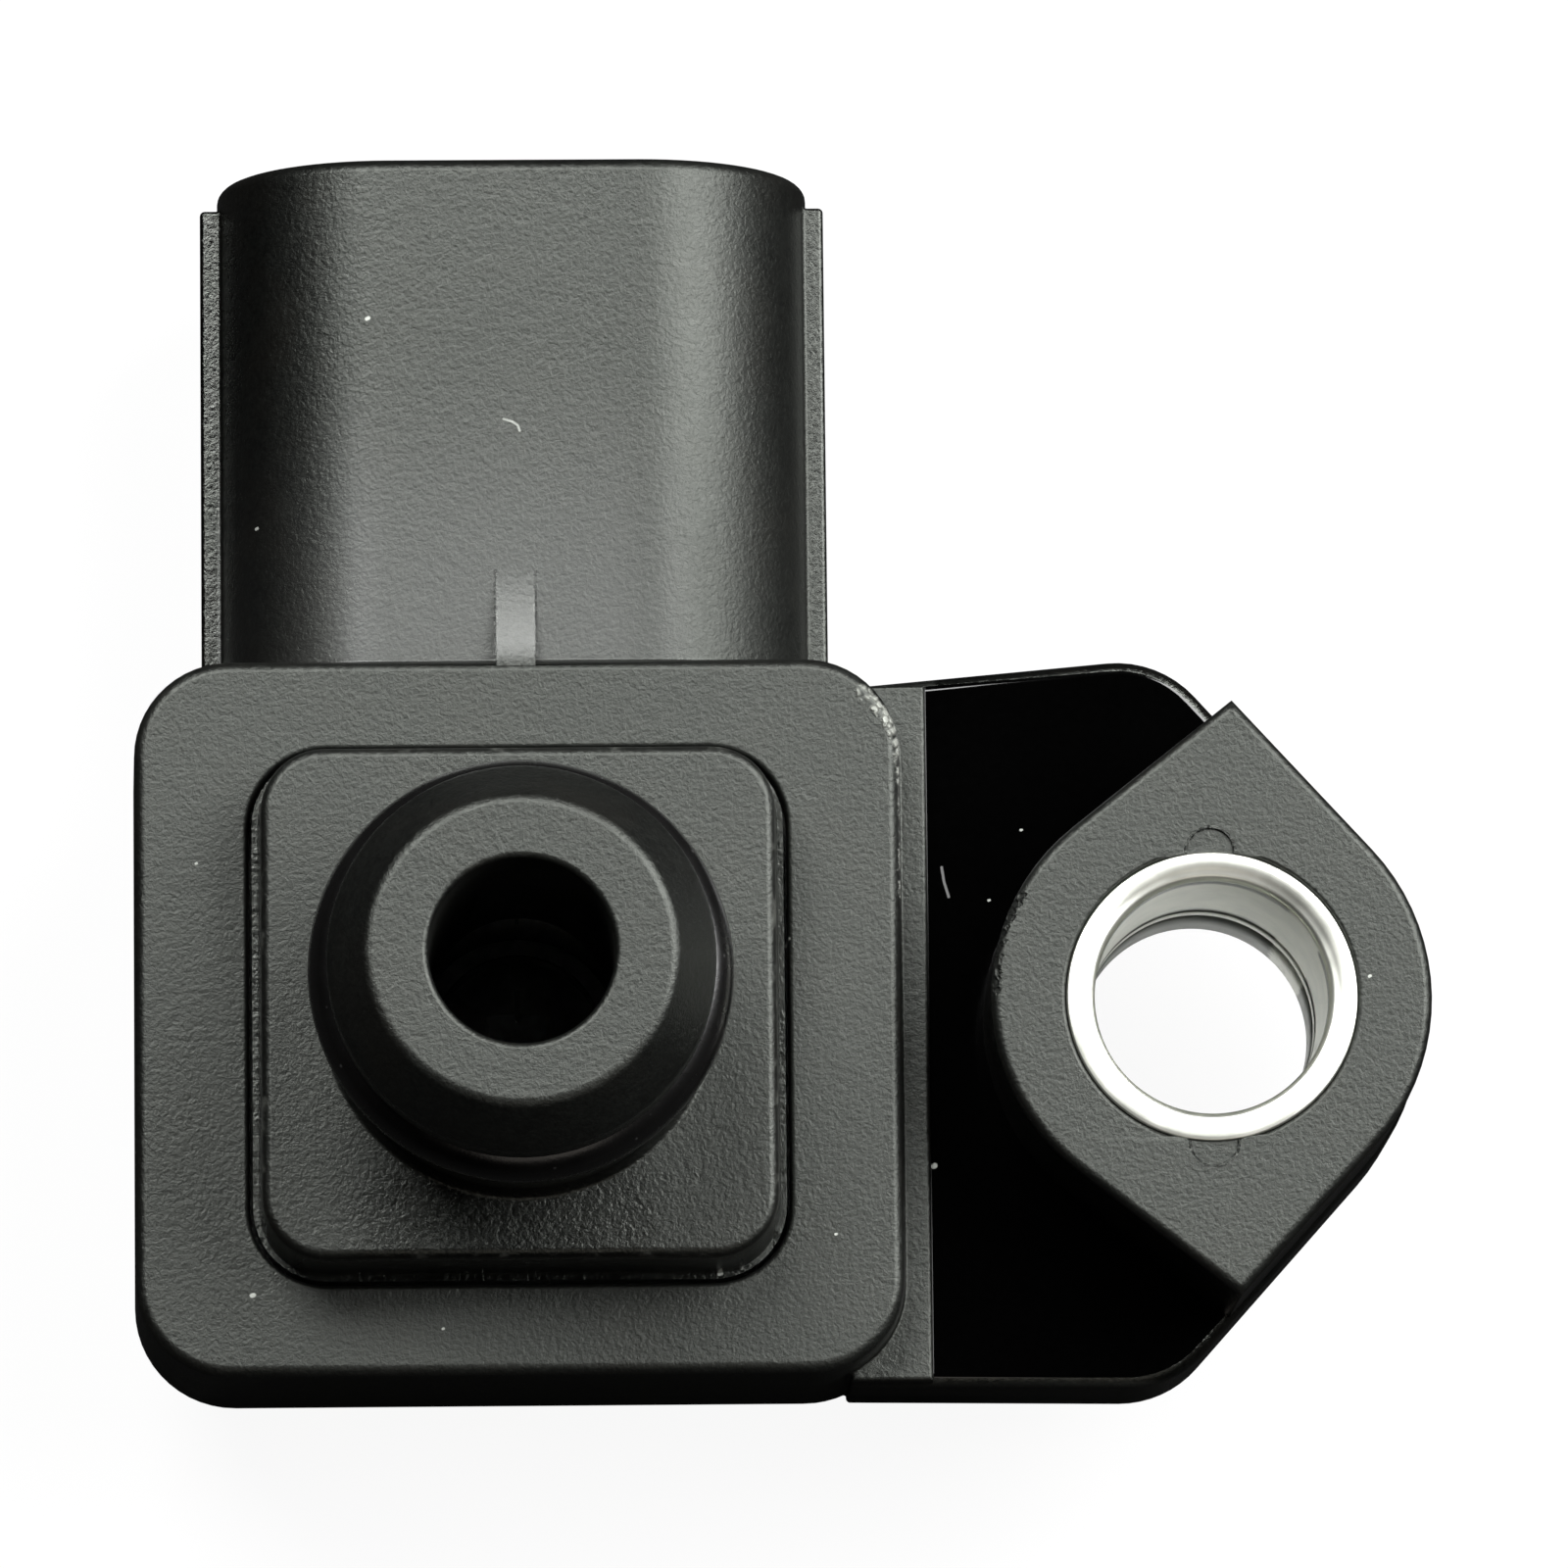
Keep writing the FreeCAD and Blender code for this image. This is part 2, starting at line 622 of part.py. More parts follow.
def glue_outline(sketch, slack):
    """The bead's track between the chamber and the cover's edge, narrower by the slack."""
    outer = "(flange_width - 2 * groove_inset)"
    inner = f"({outer} - 2 * groove_width)"
    outer_corner = "flange_corner - groove_inset"
    outside, inside = f"{outer} - 2 * {slack}", f"{inner} + 2 * {slack}"
    rounded_rectangle(sketch, outside, outside, outer_corner)
    rounded_rectangle(sketch, inside, inside, f"{outer_corner} - groove_width")


def cut_ear(body):
    """The sleeve's hole and two half-round marks beside it."""
    hole = new_sketch(body, "sleeve_hole", across="ear_offset")
    add_circle(hole, "sleeve_outer / 2 + sleeve_fit")
    extrude(body, "Pocket", hole, "sleeve_length")
    moons = new_sketch(body, "pad_marks", across="ear_offset")
    add_circle(moons, "moon_radius", y="sleeve_outer / 2")
    add_circle(moons, "moon_radius", y="-sleeve_outer / 2")
    extrude(body, "Pocket", moons, "moon_depth")


def cut_back_marks(body):
    """The four round marks that the mould's pins leave on the back."""
    marks = new_sketch(body, "back_marks", out=BACK)
    across = "body_width / 2 - mark_inset"
    up = "body_height / 2 - mark_inset"
    for x in (across, f"-({across})"):
        for y in (up, f"-({up})"):
            add_circle(marks, "mark_diameter / 2", x, y)
    extrude(body, "Pocket", marks, "mark_depth", backwards=True)


def make_housing():
    body = new_body("housing")
    add_block(body)
    add_ear(body)
    add_shroud(body)
    cut_socket(body)
    cut_chamber(body)
    cut_ear(body)
    cut_back_marks(body)
    return body


# Port cover and its ring

def make_port_cover():
    """The lid: a flange in the housing's mouth, the square seat boss and the port with its gland."""
    body = new_body("port_cover")
    flange = new_sketch(body, "flange", out=FLANGE_TOP)
    rounded_rectangle(flange, "flange_width", "flange_width", "flange_corner")
    extrude(body, "Pad", flange, "flange_thickness", backwards=True)
    boss = new_sketch(body, "seat_boss", out=FLANGE_TOP)
    rounded_rectangle(boss, "boss_width", "boss_width", "boss_corner")
    extrude(body, "Pad", boss, "flange_drop", draft="-boss_draft")
    dress(body, "Chamfer", "boss_edge_chamfer", "boss_edge", at_level("Z", 0))
    port = new_sketch(body, "port", "XZ_Plane")
    polygon(port, [
        ("0", "-cover_wall / 2"),
        ("port_diameter / 2", "-cover_wall / 2"),
        ("port_diameter / 2", "gland_start"),
        ("gland_diameter / 2", "gland_start"),
        ("gland_diameter / 2", "gland_start + gland_width"),
        ("port_diameter / 2", "gland_start + gland_width"),
        ("port_diameter / 2", "port_height - tip_chamfer_height"),
        ("tip_diameter / 2", "port_height"),
        ("0", "port_height"),
    ])
    turn(body, port)
    beside_port = number("port_diameter / 2 + port_root_chamfer")
    near_port = [lambda box: max(-box.XMin, box.XMax, -box.YMin, box.YMax) < beside_port]
    dress(body, "Chamfer", "port_root_chamfer", "port_root", at_level("Z", 0, near_port))
    inside = new_sketch(body, "cover_inside", out=FLANGE_UNDER)
    rounded_rectangle(inside, "cover_pocket_width", "cover_pocket_width", "cover_pocket_corner")
    depth = f"-cover_wall - ({FLANGE_UNDER})"
    extrude(body, "Pocket", inside, depth, backwards=True)
    bore = new_sketch(body, "pressure_bore", out="port_height")
    add_circle(bore, "port_bore / 2")
    extrude(body, "Pocket", bore, "port_height + cover_wall")
    dress(body, "Chamfer", "tip_edge_chamfer", "tip_edge", at_level("Z", number("port_height")))
    return body


def make_o_ring():
    ring = document.addObject("Part::Torus", "port_o_ring")
    bind(ring, "Radius1", RING_RADIUS)
    bind(ring, "Radius2", "ring_section / 2")
    place(ring, z=RING_LEVEL)
    return ring


def make_cover_adhesive():
    body = new_body("cover_adhesive")
    track = new_sketch(body, "bead", out=f"{COVER_SEAT} - groove_depth")
    glue_outline(track, "ring_fit")
    extrude(body, "Pad", track, "groove_depth + cover_seat_gap")
    return body


def make_fixing_sleeve():
    """A turned tube with its edges broken at both ends."""
    body = new_body("fixing_sleeve")
    profile = new_sketch(body, "sleeve_wall", "XZ_Plane")
    inner, outer, cut = "sleeve_bore / 2", "sleeve_outer / 2", "sleeve_chamfer"
    polygon(profile, [
        (f"{inner} + {cut}", "-sleeve_length"),
        (outer, "-sleeve_length"),
        (outer, "0"),
        (f"{inner} + {cut}", "0"),
        (inner, f"-{cut}"),
        (inner, f"{cut} - sleeve_length"),
    ])
    turn(body, profile)
    place(body, x="ear_offset")
    return body


# Terminals and circuit

def make_terminal(name, x):
    """A flat blade with a pointed tip and a narrower neck that ends on the chamber's shelf."""
    body = new_body(name)
    plan = new_sketch(body, f"{name}_plan", out="-terminal_thickness / 2")
    wide, point, neck = "terminal_width / 2", "terminal_point_width / 2", "terminal_neck / 2"
    tip, taper = "terminal_reach", "terminal_reach - terminal_point"
    shoulder = "socket_floor + terminal_fit"
    polygon(plan, [
        (f"-({neck})", TERMINAL_END),
        (neck, TERMINAL_END),
        (neck, shoulder),
        (wide, shoulder),
        (wide, taper),
        (point, tip),
        (f"-({point})", tip),
        (f"-({wide})", taper),
        (f"-({wide})", shoulder),
        (f"-({neck})", shoulder),
    ])
    extrude(body, "Pad", plan, "terminal_thickness")
    flat_edges = at_level("Y", number(tip), [lambda box: box.ZLength < NEAR])
    dress(body, "Chamfer", "terminal_bevel", f"{name}_bevel", flat_edges)
    place(body, x, z="-shroud_drop")
    return body


def make_block(name, length, width, height, x="0", y="0", z="0"):
    """A plain block whose underside is at z, with its middle at x and y."""
    block = document.addObject("Part::Box", name)
    bind(block, "Length", length)
    bind(block, "Width", width)
    bind(block, "Height", height)
    place(block, f"{x} - ({length}) / 2", f"{y} - ({width}) / 2", z)
    return block


def make_plate(name, width, height, corner, thickness, y, z):
    """A thin plate with round corners in plan."""
    body = new_body(name)
    plan = new_sketch(body, f"{name}_plan")
    rounded_rectangle(plan, width, height, corner)
    extrude(body, "Pad", plan, thickness)
    place(body, y=y, z=z)
    return body


def make_pressure_die():
    """The die: a block with its diaphragm sunk in the top."""
    block = make_block("die_block", "die_width", "die_width", "die_height", y="dam_offset", z=DIE_UNDER)
    well_z = f"{DIE_TOP} - diaphragm_depth"
    well = make_block("diaphragm_well", "diaphragm_width", "diaphragm_width", "2 * diaphragm_depth",
                      y="dam_offset", z=well_z)
    die = document.addObject("Part::Cut", "pressure_die")
    die.Base = block
    die.Tool = well
    return die


def make_cylinder(name, radius, height, z):
    """An upright cylinder on the die's axis."""
    cylinder = document.addObject("Part::Cylinder", name)
    bind(cylinder, "Radius", radius)
    bind(cylinder, "Height", height)
    place(cylinder, y="dam_offset", z=z)
    return cylinder


def make_gel_dam():
    outside = make_cylinder("dam_outside", "dam_outer / 2", "dam_height", SUBSTRATE_TOP)
    inside = make_cylinder("dam_inside", "dam_outer / 2 - dam_wall", "dam_height", SUBSTRATE_TOP)
    dam = document.addObject("Part::Cut", "gel_dam")
    dam.Base = outside
    dam.Tool = inside
    return dam


def make_wire(start, end, width):
    """A wire of square section that rises from its first bond, bends and runs down to the second."""
    run = Vector(end.x - start.x, end.y - start.y, 0).normalize()
    knee = start + run * number("wire_knee") + UP * number("wire_loop")
    thick = UP * (width / 2)
    across = run.cross(UP) * width
    lower = [point - thick for point in (start, knee, end)]
    upper = [point + thick for point in (end, knee, start)]
    side = Part.Face(Part.makePolygon([*lower, *upper, lower[0]]))
    side.translate(across * -0.5)
    return side.extrude(across)


def terminal_wires():
    """One wire from each terminal down to the substrate."""
    lift = number("wire_width / 2")
    shapes = []
    for column in (-1, 0, 1):
        x = column * number("terminal_pitch")
        y = number(f"{TERMINAL_END} + terminal_wire_inset")
        start = Vector(x, y, number(TERMINAL_TOP) + lift)
        end = Vector(x, y - number("terminal_wire_run"), number(SUBSTRATE_TOP) + lift)
        shapes.append(make_wire(start, end, 2 * lift))
    return shapes


def die_wires(width):
    """One wire from each side of the die down to the substrate."""
    lift = number("wire_width / 2")
    middle = Vector(0, number("dam_offset"), 0)
    inner = number("die_width / 2 - die_wire_inset")
    outer = inner + number("die_wire_run")
    shapes = []
    for quarter in range(4):
        way = Vector(math.cos(quarter * math.pi / 2), math.sin(quarter * math.pi / 2), 0)
        start = middle + way * inner + Vector(0, 0, number(DIE_TOP) + lift)
        end = middle + way * outer + Vector(0, 0, number(SUBSTRATE_TOP) + lift)
        shapes.append(make_wire(start, end, width))
    return shapes


def make_feature(name, shape):
    """A piece whose form is worked out from the sizes in the sheet."""
    feature = document.addObject("Part::Feature", name)
    feature.Shape = shape
    feature.Placement = Placement()
    return feature


def make_protective_gel():
    """The gel that fills the dam round the pedestal, the die and its wires."""
    radius = number("dam_outer / 2 - dam_wall - gel_fit")
    floor = Vector(0, number("dam_offset"), number(SUBSTRATE_TOP))
    gel = Part.makeCylinder(radius, number(f"{GEL_TOP} - ({SUBSTRATE_TOP})"), floor)
    slack = number("gel_fit")
    for width, low, high in (
        ("pedestal_width", SUBSTRATE_TOP, DIE_UNDER),
        ("die_width", DIE_UNDER, DIE_TOP),
    ):
        side = number(width) + 2 * slack
        corner = Vector(-side / 2, number("dam_offset") - side / 2, number(low) - slack)
        gel = gel.cut(Part.makeBox(side, side, number(f"{high} - ({low})") + 2 * slack, corner))
    return gel.cut(die_wires(number("wire_width") + 2 * slack))


def make_chip_part(name, column):
    """A small ceramic part with a metal cap at each end, one of a row from the substrate's right edge."""
    x = f"({SUBSTRATE_WIDTH} / 2 - passive_side_inset - {column} * passive_pitch)"
    core = make_block(f"{name}_core", "passive_length", "passive_width", "passive_height",
                      x, PASSIVE_Y, f"{SUBSTRATE_TOP} + passive_cap_step")
    wide, tall = "passive_width + 2 * passive_cap_step", "passive_height + 2 * passive_cap_step"
    caps = [
        make_block(f"{name}_{side}_cap", "passive_cap", wide, tall,
                   f"{x} {sign} (passive_length - passive_cap) / 2 {sign} passive_cap_step",
                   PASSIVE_Y, SUBSTRATE_TOP)
        for side, sign in (("left", "-"), ("right", "+"))
    ]
    part = document.addObject("Part::MultiFuse", name)
    part.Shapes = [core] + caps
    return part


def make_circuit():
    """What the chamber holds: board, die, gel, chip, small parts and wires."""
    glued_width = f"{SUBSTRATE_WIDTH} - 2 * glue_inset"
    glued_height = f"{SUBSTRATE_HEIGHT} - 2 * glue_inset"
    return [
        make_plate("substrate_adhesive", glued_width, glued_height, "glue_inset",
                   "substrate_glue", WELL_MIDDLE, CHAMBER_FLOOR),
        make_plate("circuit_substrate", SUBSTRATE_WIDTH, SUBSTRATE_HEIGHT, "substrate_corner",
                   "substrate_thickness", WELL_MIDDLE, SUBSTRATE_UNDER),
        make_block("die_pedestal", "pedestal_width", "pedestal_width", "pedestal_height",
                   y="dam_offset", z=SUBSTRATE_TOP),
        make_pressure_die(),
        make_gel_dam(),
        make_feature("protective_gel", make_protective_gel()),
        make_block("signal_chip", "chip_width", "chip_length", "chip_height",
                   CHIP_X, CHIP_Y, SUBSTRATE_TOP),
        make_chip_part("supply_capacitor", 3),
        make_chip_part("output_capacitor", 2),
        make_chip_part("filter_capacitor", 1),
        make_chip_part("trim_resistor", 0),
        make_feature("terminal_wires", Part.makeCompound(terminal_wires())),
        make_feature("die_wires", Part.makeCompound(die_wires(number("wire_width")))),
    ]


def check(pieces):
    """Stops if a feature failed or a piece has no sound shape."""
    for item in document.Objects:
        if "Invalid" in item.State or "Error" in item.State:
            raise RuntimeError(f"{item.Name} failed: {item.State}")
    for piece in pieces:
        if piece.Shape.isNull() or not piece.Shape.isValid():
            raise RuntimeError(f"{piece.Label} has no valid shape")


pieces = [
    make_housing(),
    make_port_cover(),
    make_o_ring(),
    make_cover_adhesive(),
    make_fixing_sleeve(),
    make_terminal("supply_terminal", "-terminal_pitch"),
    make_terminal("signal_terminal", "0"),
    make_terminal("ground_terminal", "terminal_pitch"),
    *make_circuit(),
]
document.recompute()
check(pieces)
os.makedirs("parts", exist_ok=True)
for piece in pieces:
    piece.Shape.exportStep(f"parts/{piece.Label}.step")
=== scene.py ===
import json
import math

import bmesh
import bpy
from mathutils import Matrix, Vector
from mathutils.geometry import intersect_point_line


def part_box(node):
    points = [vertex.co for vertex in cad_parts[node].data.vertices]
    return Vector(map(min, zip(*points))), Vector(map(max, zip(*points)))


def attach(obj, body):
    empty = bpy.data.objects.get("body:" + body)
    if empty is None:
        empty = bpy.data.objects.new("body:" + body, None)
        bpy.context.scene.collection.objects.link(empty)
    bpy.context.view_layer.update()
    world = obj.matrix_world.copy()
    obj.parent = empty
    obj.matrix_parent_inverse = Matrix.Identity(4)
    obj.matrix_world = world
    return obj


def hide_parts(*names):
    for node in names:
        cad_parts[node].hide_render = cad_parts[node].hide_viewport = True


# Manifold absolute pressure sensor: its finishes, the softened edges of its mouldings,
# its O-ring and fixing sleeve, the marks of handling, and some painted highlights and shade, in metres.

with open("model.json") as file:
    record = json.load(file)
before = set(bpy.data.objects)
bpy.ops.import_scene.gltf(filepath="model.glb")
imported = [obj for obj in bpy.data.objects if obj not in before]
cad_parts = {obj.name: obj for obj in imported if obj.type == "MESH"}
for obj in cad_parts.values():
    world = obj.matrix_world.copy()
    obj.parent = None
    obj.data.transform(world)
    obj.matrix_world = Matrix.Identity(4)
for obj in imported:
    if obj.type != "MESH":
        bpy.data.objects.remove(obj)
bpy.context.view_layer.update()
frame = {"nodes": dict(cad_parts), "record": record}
NODES = frame["nodes"]

MM = 0.001
MERGE = 0.0005 * MM
UP = Vector((0, 0, 1))

# Places on the sensor that the frame gives

RING_LOW, RING_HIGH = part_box("port_o_ring")
SLEEVE_LOW, SLEEVE_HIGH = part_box("fixing_sleeve")
FLOOR_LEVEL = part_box("housing")[0].z
MOUNTS = {mount["name"]: mount for mount in frame["record"]["mounts"]}
HOLE_RADIUS = MOUNTS["fixing_hole"]["dims"]["r_mm"] * MM
SLEEVE_RADIUS = (SLEEVE_HIGH.x - SLEEVE_LOW.x) / 2
SEAT = 0.0
EAR = Vector(((SLEEVE_LOW.x + SLEEVE_HIGH.x) / 2, (SLEEVE_LOW.y + SLEEVE_HIGH.y) / 2, SEAT))

# Places on the mouldings that only the solids' source names

FACE_LEVEL = -3.0 * MM
WEB_LEVEL = -5.5 * MM
LEDGE_END = 11.7 * MM
BLOCK_LOW_SIDE = -10.25 * MM
SHROUD_START = 10.2 * MM
SHROUD_HALF = 8.525 * MM
FRONT_RIB_HALF = 0.55 * MM
FRONT_RIB_END = 12.95 * MM
MOON_RADIUS = 0.68 * MM
BOSS_HALF = 7.2 * MM


# Shader maths

class Value:
    """A shader value; arithmetic on it adds the maths nodes that it needs."""

    def __init__(self, finish, socket):
        self.finish = finish
        self.socket = socket

    def maths(self, operation, *values):
        return self.finish.add("Math", {"operation": operation}, dict(enumerate(values)))

    def __add__(self, other):
        return self.maths("ADD", self, other)

    def __sub__(self, other):
        return self.maths("SUBTRACT", self, other)

    def __rsub__(self, other):
        return self.maths("SUBTRACT", other, self)

    def __mul__(self, other):
        return self.maths("MULTIPLY", self, other)

    def __truediv__(self, other):
        return self.maths("DIVIDE", self, other)

    def __pow__(self, other):
        return self.maths("POWER", self, other)

    def __abs__(self):
        return self.maths("ABSOLUTE", self)

    __radd__ = __add__
    __rmul__ = __mul__

    def highest(self, other):
        return self.maths("MAXIMUM", self, other)

    def lowest(self, other):
        return self.maths("MINIMUM", self, other)

    def ramp(self, low, high):
        """0 below low, 1 above high and smooth between; low may be the larger."""
        limits = {"Value": self, "From Min": low, "From Max": high}
        return self.finish.add("MapRange", {"interpolation_type": "SMOOTHSTEP"}, limits)

    def near(self, width):
        """1 where the value is about 0, and 0 beyond the width on either side."""
        return (self * self).ramp(width * width, 0.2 * width * width)


class Finish:
    """One procedural material, whose nodes are added one by one."""

    def __init__(self, name, **constants):
        self.material = bpy.data.materials.new(name)
        self.material.use_nodes = True
        self.tree = self.material.node_tree
        self.surface = self.tree.nodes["Principled BSDF"]
        for socket, value in constants.items():
            self.surface.inputs[socket.replace("_", " ")].default_value = value
        self.place = self.add("TexCoord", out="Object")
        self.fray = None

    def add(self, kind, settings=None, values=None, out=0):
        """Adds a node, gives it its settings and then its values or links, and returns one of its outputs."""
        node = self.tree.nodes.new(f"ShaderNode{kind}")
        for setting, value in (settings or {}).items():
            setattr(node, setting, value)
        for name, value in (values or {}).items():
            self.feed(node.inputs[name], value)
        return Value(self, node.outputs[out])

    def feed(self, socket, value):
        if isinstance(value, Value):
            self.tree.links.new(value.socket, socket)
        else:
            socket.default_value = value

    def set(self, **values):
        """Feeds the shader's own sockets."""
        for name, value in values.items():
            self.feed(self.surface.inputs[name.replace("_", " ")], value)

    def axes(self):
        """The three coordinates of a place on the object, in metres."""
        node = self.tree.nodes.new("ShaderNodeSeparateXYZ")
        self.feed(node.inputs[0], self.place)
        return [Value(self, node.outputs[axis]) for axis in "XYZ"]

    def vector(self, x=0.0, y=0.0, z=0.0):
        return self.add("CombineXYZ", values={"X": x, "Y": y, "Z": z})

    def noise(self, size, detail=2.0, roughness=0.5, distortion=0.0, place=None):
        """Noise from 0 to 1 whose patches are about size metres across."""
        values = {
            "Vector": place or self.place,
            "Scale": 1 / size,
            "Detail": detail,
            "Roughness": roughness,
            "Distortion": distortion,
        }
        return self.add("TexNoise", values=values, out="Fac")

    def cells(self, size):
        """Distance to the nearest of many scattered points, in cells of about size metres."""
        return self.add("TexVoronoi", values={"Vector": self.place, "Scale": 1 / size}, out="Distance")

    def blend(self, factor, first, second):
        """Mixes two colours."""
        return self.add("Mix", {"data_type": "RGBA"}, {0: factor, 6: colour(first), 7: colour(second)}, 2)

    def bump(self, height, distance):
        """A bump of so many metres for a height from 0 to 1."""
        values = {"Height": height, "Distance": distance, "Strength": 1.0}
        return self.add("Bump", values=values, out="Normal")

    def line(self, points, width, ragged=0.0):
        """1 near a line through places seen from above, in millimetres, and 0 beyond its width."""
        x, y, _ = self.axes()
        distance = None
        for (ax, ay), (bx, by) in zip(points, points[1:]):
            dx, dy = (bx - ax) * MM, (by - ay) * MM
            px, py = x - ax * MM, y - ay * MM
            share = ((px * dx + py * dy) / (dx * dx + dy * dy)).highest(0.0).lowest(1.0)
            off_x, off_y = px - share * dx, py - share * dy
            reach = (off_x * off_x + off_y * off_y) ** 0.5
            distance = distance.lowest(reach) if distance else reach
        if ragged:
            self.fray = self.fray or self.noise(0.22 * MM, detail=3.0, roughness=0.7) - 0.5
            distance = distance + self.fray * (ragged * MM)
        return distance.ramp(width * MM, 0.45 * width * MM)


def colour(value):
    """A grey level or a colour as four numbers; a link passes through."""
    if isinstance(value, Value):
        return value
    if isinstance(value, (int, float)):
        value = (value, value, value)
    return (*value[:3], 1.0)


# Marks on the mouldings, seen from above in millimetres: specks with their radius, and lines

DUST = [
    (-4.16, 20.18, 0.075), (-7.37, 14.4, 0.05), (5.62, -7.39, 0.075), (-7.55, -7.91, 0.08),
    (23.9, 0.53, 0.055), (7.64, 2.13, 0.06), (-2.2, -8.9, 0.045), (8.9, -6.3, 0.045),
    (-9.1, 4.4, 0.045), (16.9, -6.1, 0.045),
]
WEB_DUST = [(11.79, -4.08, 0.09), (14.41, 5.57, 0.045), (13.46, 3.54, 0.045)]
WEB_STREAK = [(12.12, 4.51), (12.18, 4.1), (12.31, 3.66)]
FIBRE = [(-0.3, 17.24), (-0.05, 17.16), (0.1, 17.06), (0.16, 16.9)]
# The pale flakes along this edge are partly real and partly a painted highlight.
SCRAPE_AND_GLINT = [(9.8, 9.25), (10.45, 8.55), (10.9, 7.7), (11.02, 6.5), (11.03, 4.86), (11.02, 3.4)]
PAD_CHIP = [(14.0, 2.9), (13.55, 2.1), (13.3, 1.2), (13.26, 0.3)]
BURR = [(21.9, 2.45), (22.3, 1.97), (22.5, 1.5)]
DULL_STRIP = [(-4.0, -10.0), (7.5, -10.0)]
RUBBED_STRIP = [(-2.4, -6.2), (1.8, -6.2)]

# Finishes

GRAIN = 0.15 * MM
GRAIN_DEPTH = 0.038 * MM
PLASTIC_DARK = (0.0004, 0.0004, 0.0004)
PLASTIC_LIGHT = (0.003, 0.0033, 0.0028)
PLASTIC_WARM = (0.00375, 0.003168, 0.00252)
FIBRE_END = (0.0075, 0.00825, 0.007)
DUST_COLOUR = (0.5, 0.52, 0.48)


def grained(finish):
    """The grain of a spark-eroded mould on glass-filled plastic, with its slow patches and fibre ends."""
    fine = finish.noise(GRAIN, detail=4.0, roughness=0.65, distortion=0.3)
    mottle = finish.noise(2.6 * GRAIN, detail=2.0, roughness=0.6, distortion=0.3)
    patches = finish.noise(2.6 * MM, detail=3.0)
    drift = finish.noise(9.0 * MM, detail=1.0)
    tone = 0.65 * fine.ramp(0.32, 0.7) + 0.35 * mottle.ramp(0.35, 0.65)
    base = finish.blend(tone, PLASTIC_DARK, PLASTIC_LIGHT)
    base = finish.blend(patches.ramp(0.45, 0.68) * 0.5, base, PLASTIC_WARM)
    base = finish.blend(drift.ramp(0.35, 0.7) * 0.25, base, PLASTIC_DARK)
    fibres = finish.cells(0.75 * MM).ramp(0.13, 0.05)
    base = finish.blend(fibres * 0.35, base, FIBRE_END)
    return base, 0.7 * fine + 0.3 * mottle


def dusted(finish, base, specks):
    """Lays pale grains of dust on a base colour."""
    for x, y, radius in specks:
        speck = finish.line([(x - radius / 3, y), (x + radius / 3, y + radius / 4)], radius, 0.06)
        base = finish.blend(speck * 0.8, base, DUST_COLOUR)
    return base


def moulded_plastic(name):
    """Grained black plastic whose gloss breaks up with its grain."""
    finish = Finish(name, IOR=1.58, Specular_Tint=(0.95, 1.0, 0.92, 1.0))
    base, height = grained(finish)
    spread = finish.noise(1.1 * MM, detail=3.0, roughness=0.6)
    rough = 0.31 + 0.16 * height + 0.08 * spread
    return finish, dusted(finish, base, DUST), rough, height


def mark_outlines(finish):
    """1 on the sharp outlines of the front rib and of the two half-round marks beside the sleeve."""
    x, y, _ = finish.axes()
    across, up = x - EAR.x, abs(y) - SLEEVE_RADIUS
    off_moon = (across * across + up * up) ** 0.5 - (MOON_RADIUS + 0.02 * MM)
    off_rib = abs(x) - (FRONT_RIB_HALF + 0.02 * MM)
    along_rib = y.ramp(SHROUD_START - 0.2 * MM, SHROUD_START + 0.2 * MM)
    along_rib = along_rib * y.ramp(FRONT_RIB_END, FRONT_RIB_END - 0.1 * MM)
    return off_moon.near(0.07 * MM) + off_rib.near(0.07 * MM) * along_rib


def shroud_gloss(finish):
    """How much rougher the shroud is than the block, and how much of a second gloss lies over its root."""
    x, y, _ = finish.axes()
    shroud = y.ramp(SHROUD_START - 0.2 * MM, SHROUD_START + 0.2 * MM)
    root = y.ramp(20.0 * MM, SHROUD_START + 0.3 * MM) * shroud
    ribs = abs(x).ramp(SHROUD_HALF - 0.075 * MM, SHROUD_HALF + 0.075 * MM) * shroud
    right_curve = x.ramp(2.5 * MM, 5.5 * MM) * shroud
    left_curve = x.ramp(-6.6 * MM, -7.8 * MM) * shroud
    front_rib = abs(x).ramp(FRONT_RIB_HALF + 0.02 * MM, FRONT_RIB_HALF - 0.03 * MM) * shroud
    front_rib = front_rib * y.ramp(FRONT_RIB_END - 0.05 * MM, FRONT_RIB_END - 0.25 * MM)
    rough = 0.06 * root - 0.045 * shroud + 0.04 * right_curve - 0.1 * left_curve
    rough = rough - 0.12 * ribs - 0.05 * front_rib
    return rough, 0.95 * root * (1.0 - right_curve) * (1.0 - ribs)


def side_gloss(finish):
    """How much rougher the upright sides and the block's low end are than the level faces."""
    x, y, z = finish.axes()
    ear_sides = x.ramp(LEDGE_END + 0.2 * MM, LEDGE_END + 0.4 * MM) * z.ramp(SEAT - 0.2 * MM, SEAT - 0.5 * MM)
    low_side = y.ramp(BLOCK_LOW_SIDE + 0.1 * MM, BLOCK_LOW_SIDE - 0.1 * MM)
    low_side = low_side * z.ramp(FACE_LEVEL - 0.2 * MM, FACE_LEVEL - 0.5 * MM)
    return 0.07 * finish.line(DULL_STRIP, 3.5) + 0.12 * low_side - 0.2 * ear_sides * (1.0 - low_side)


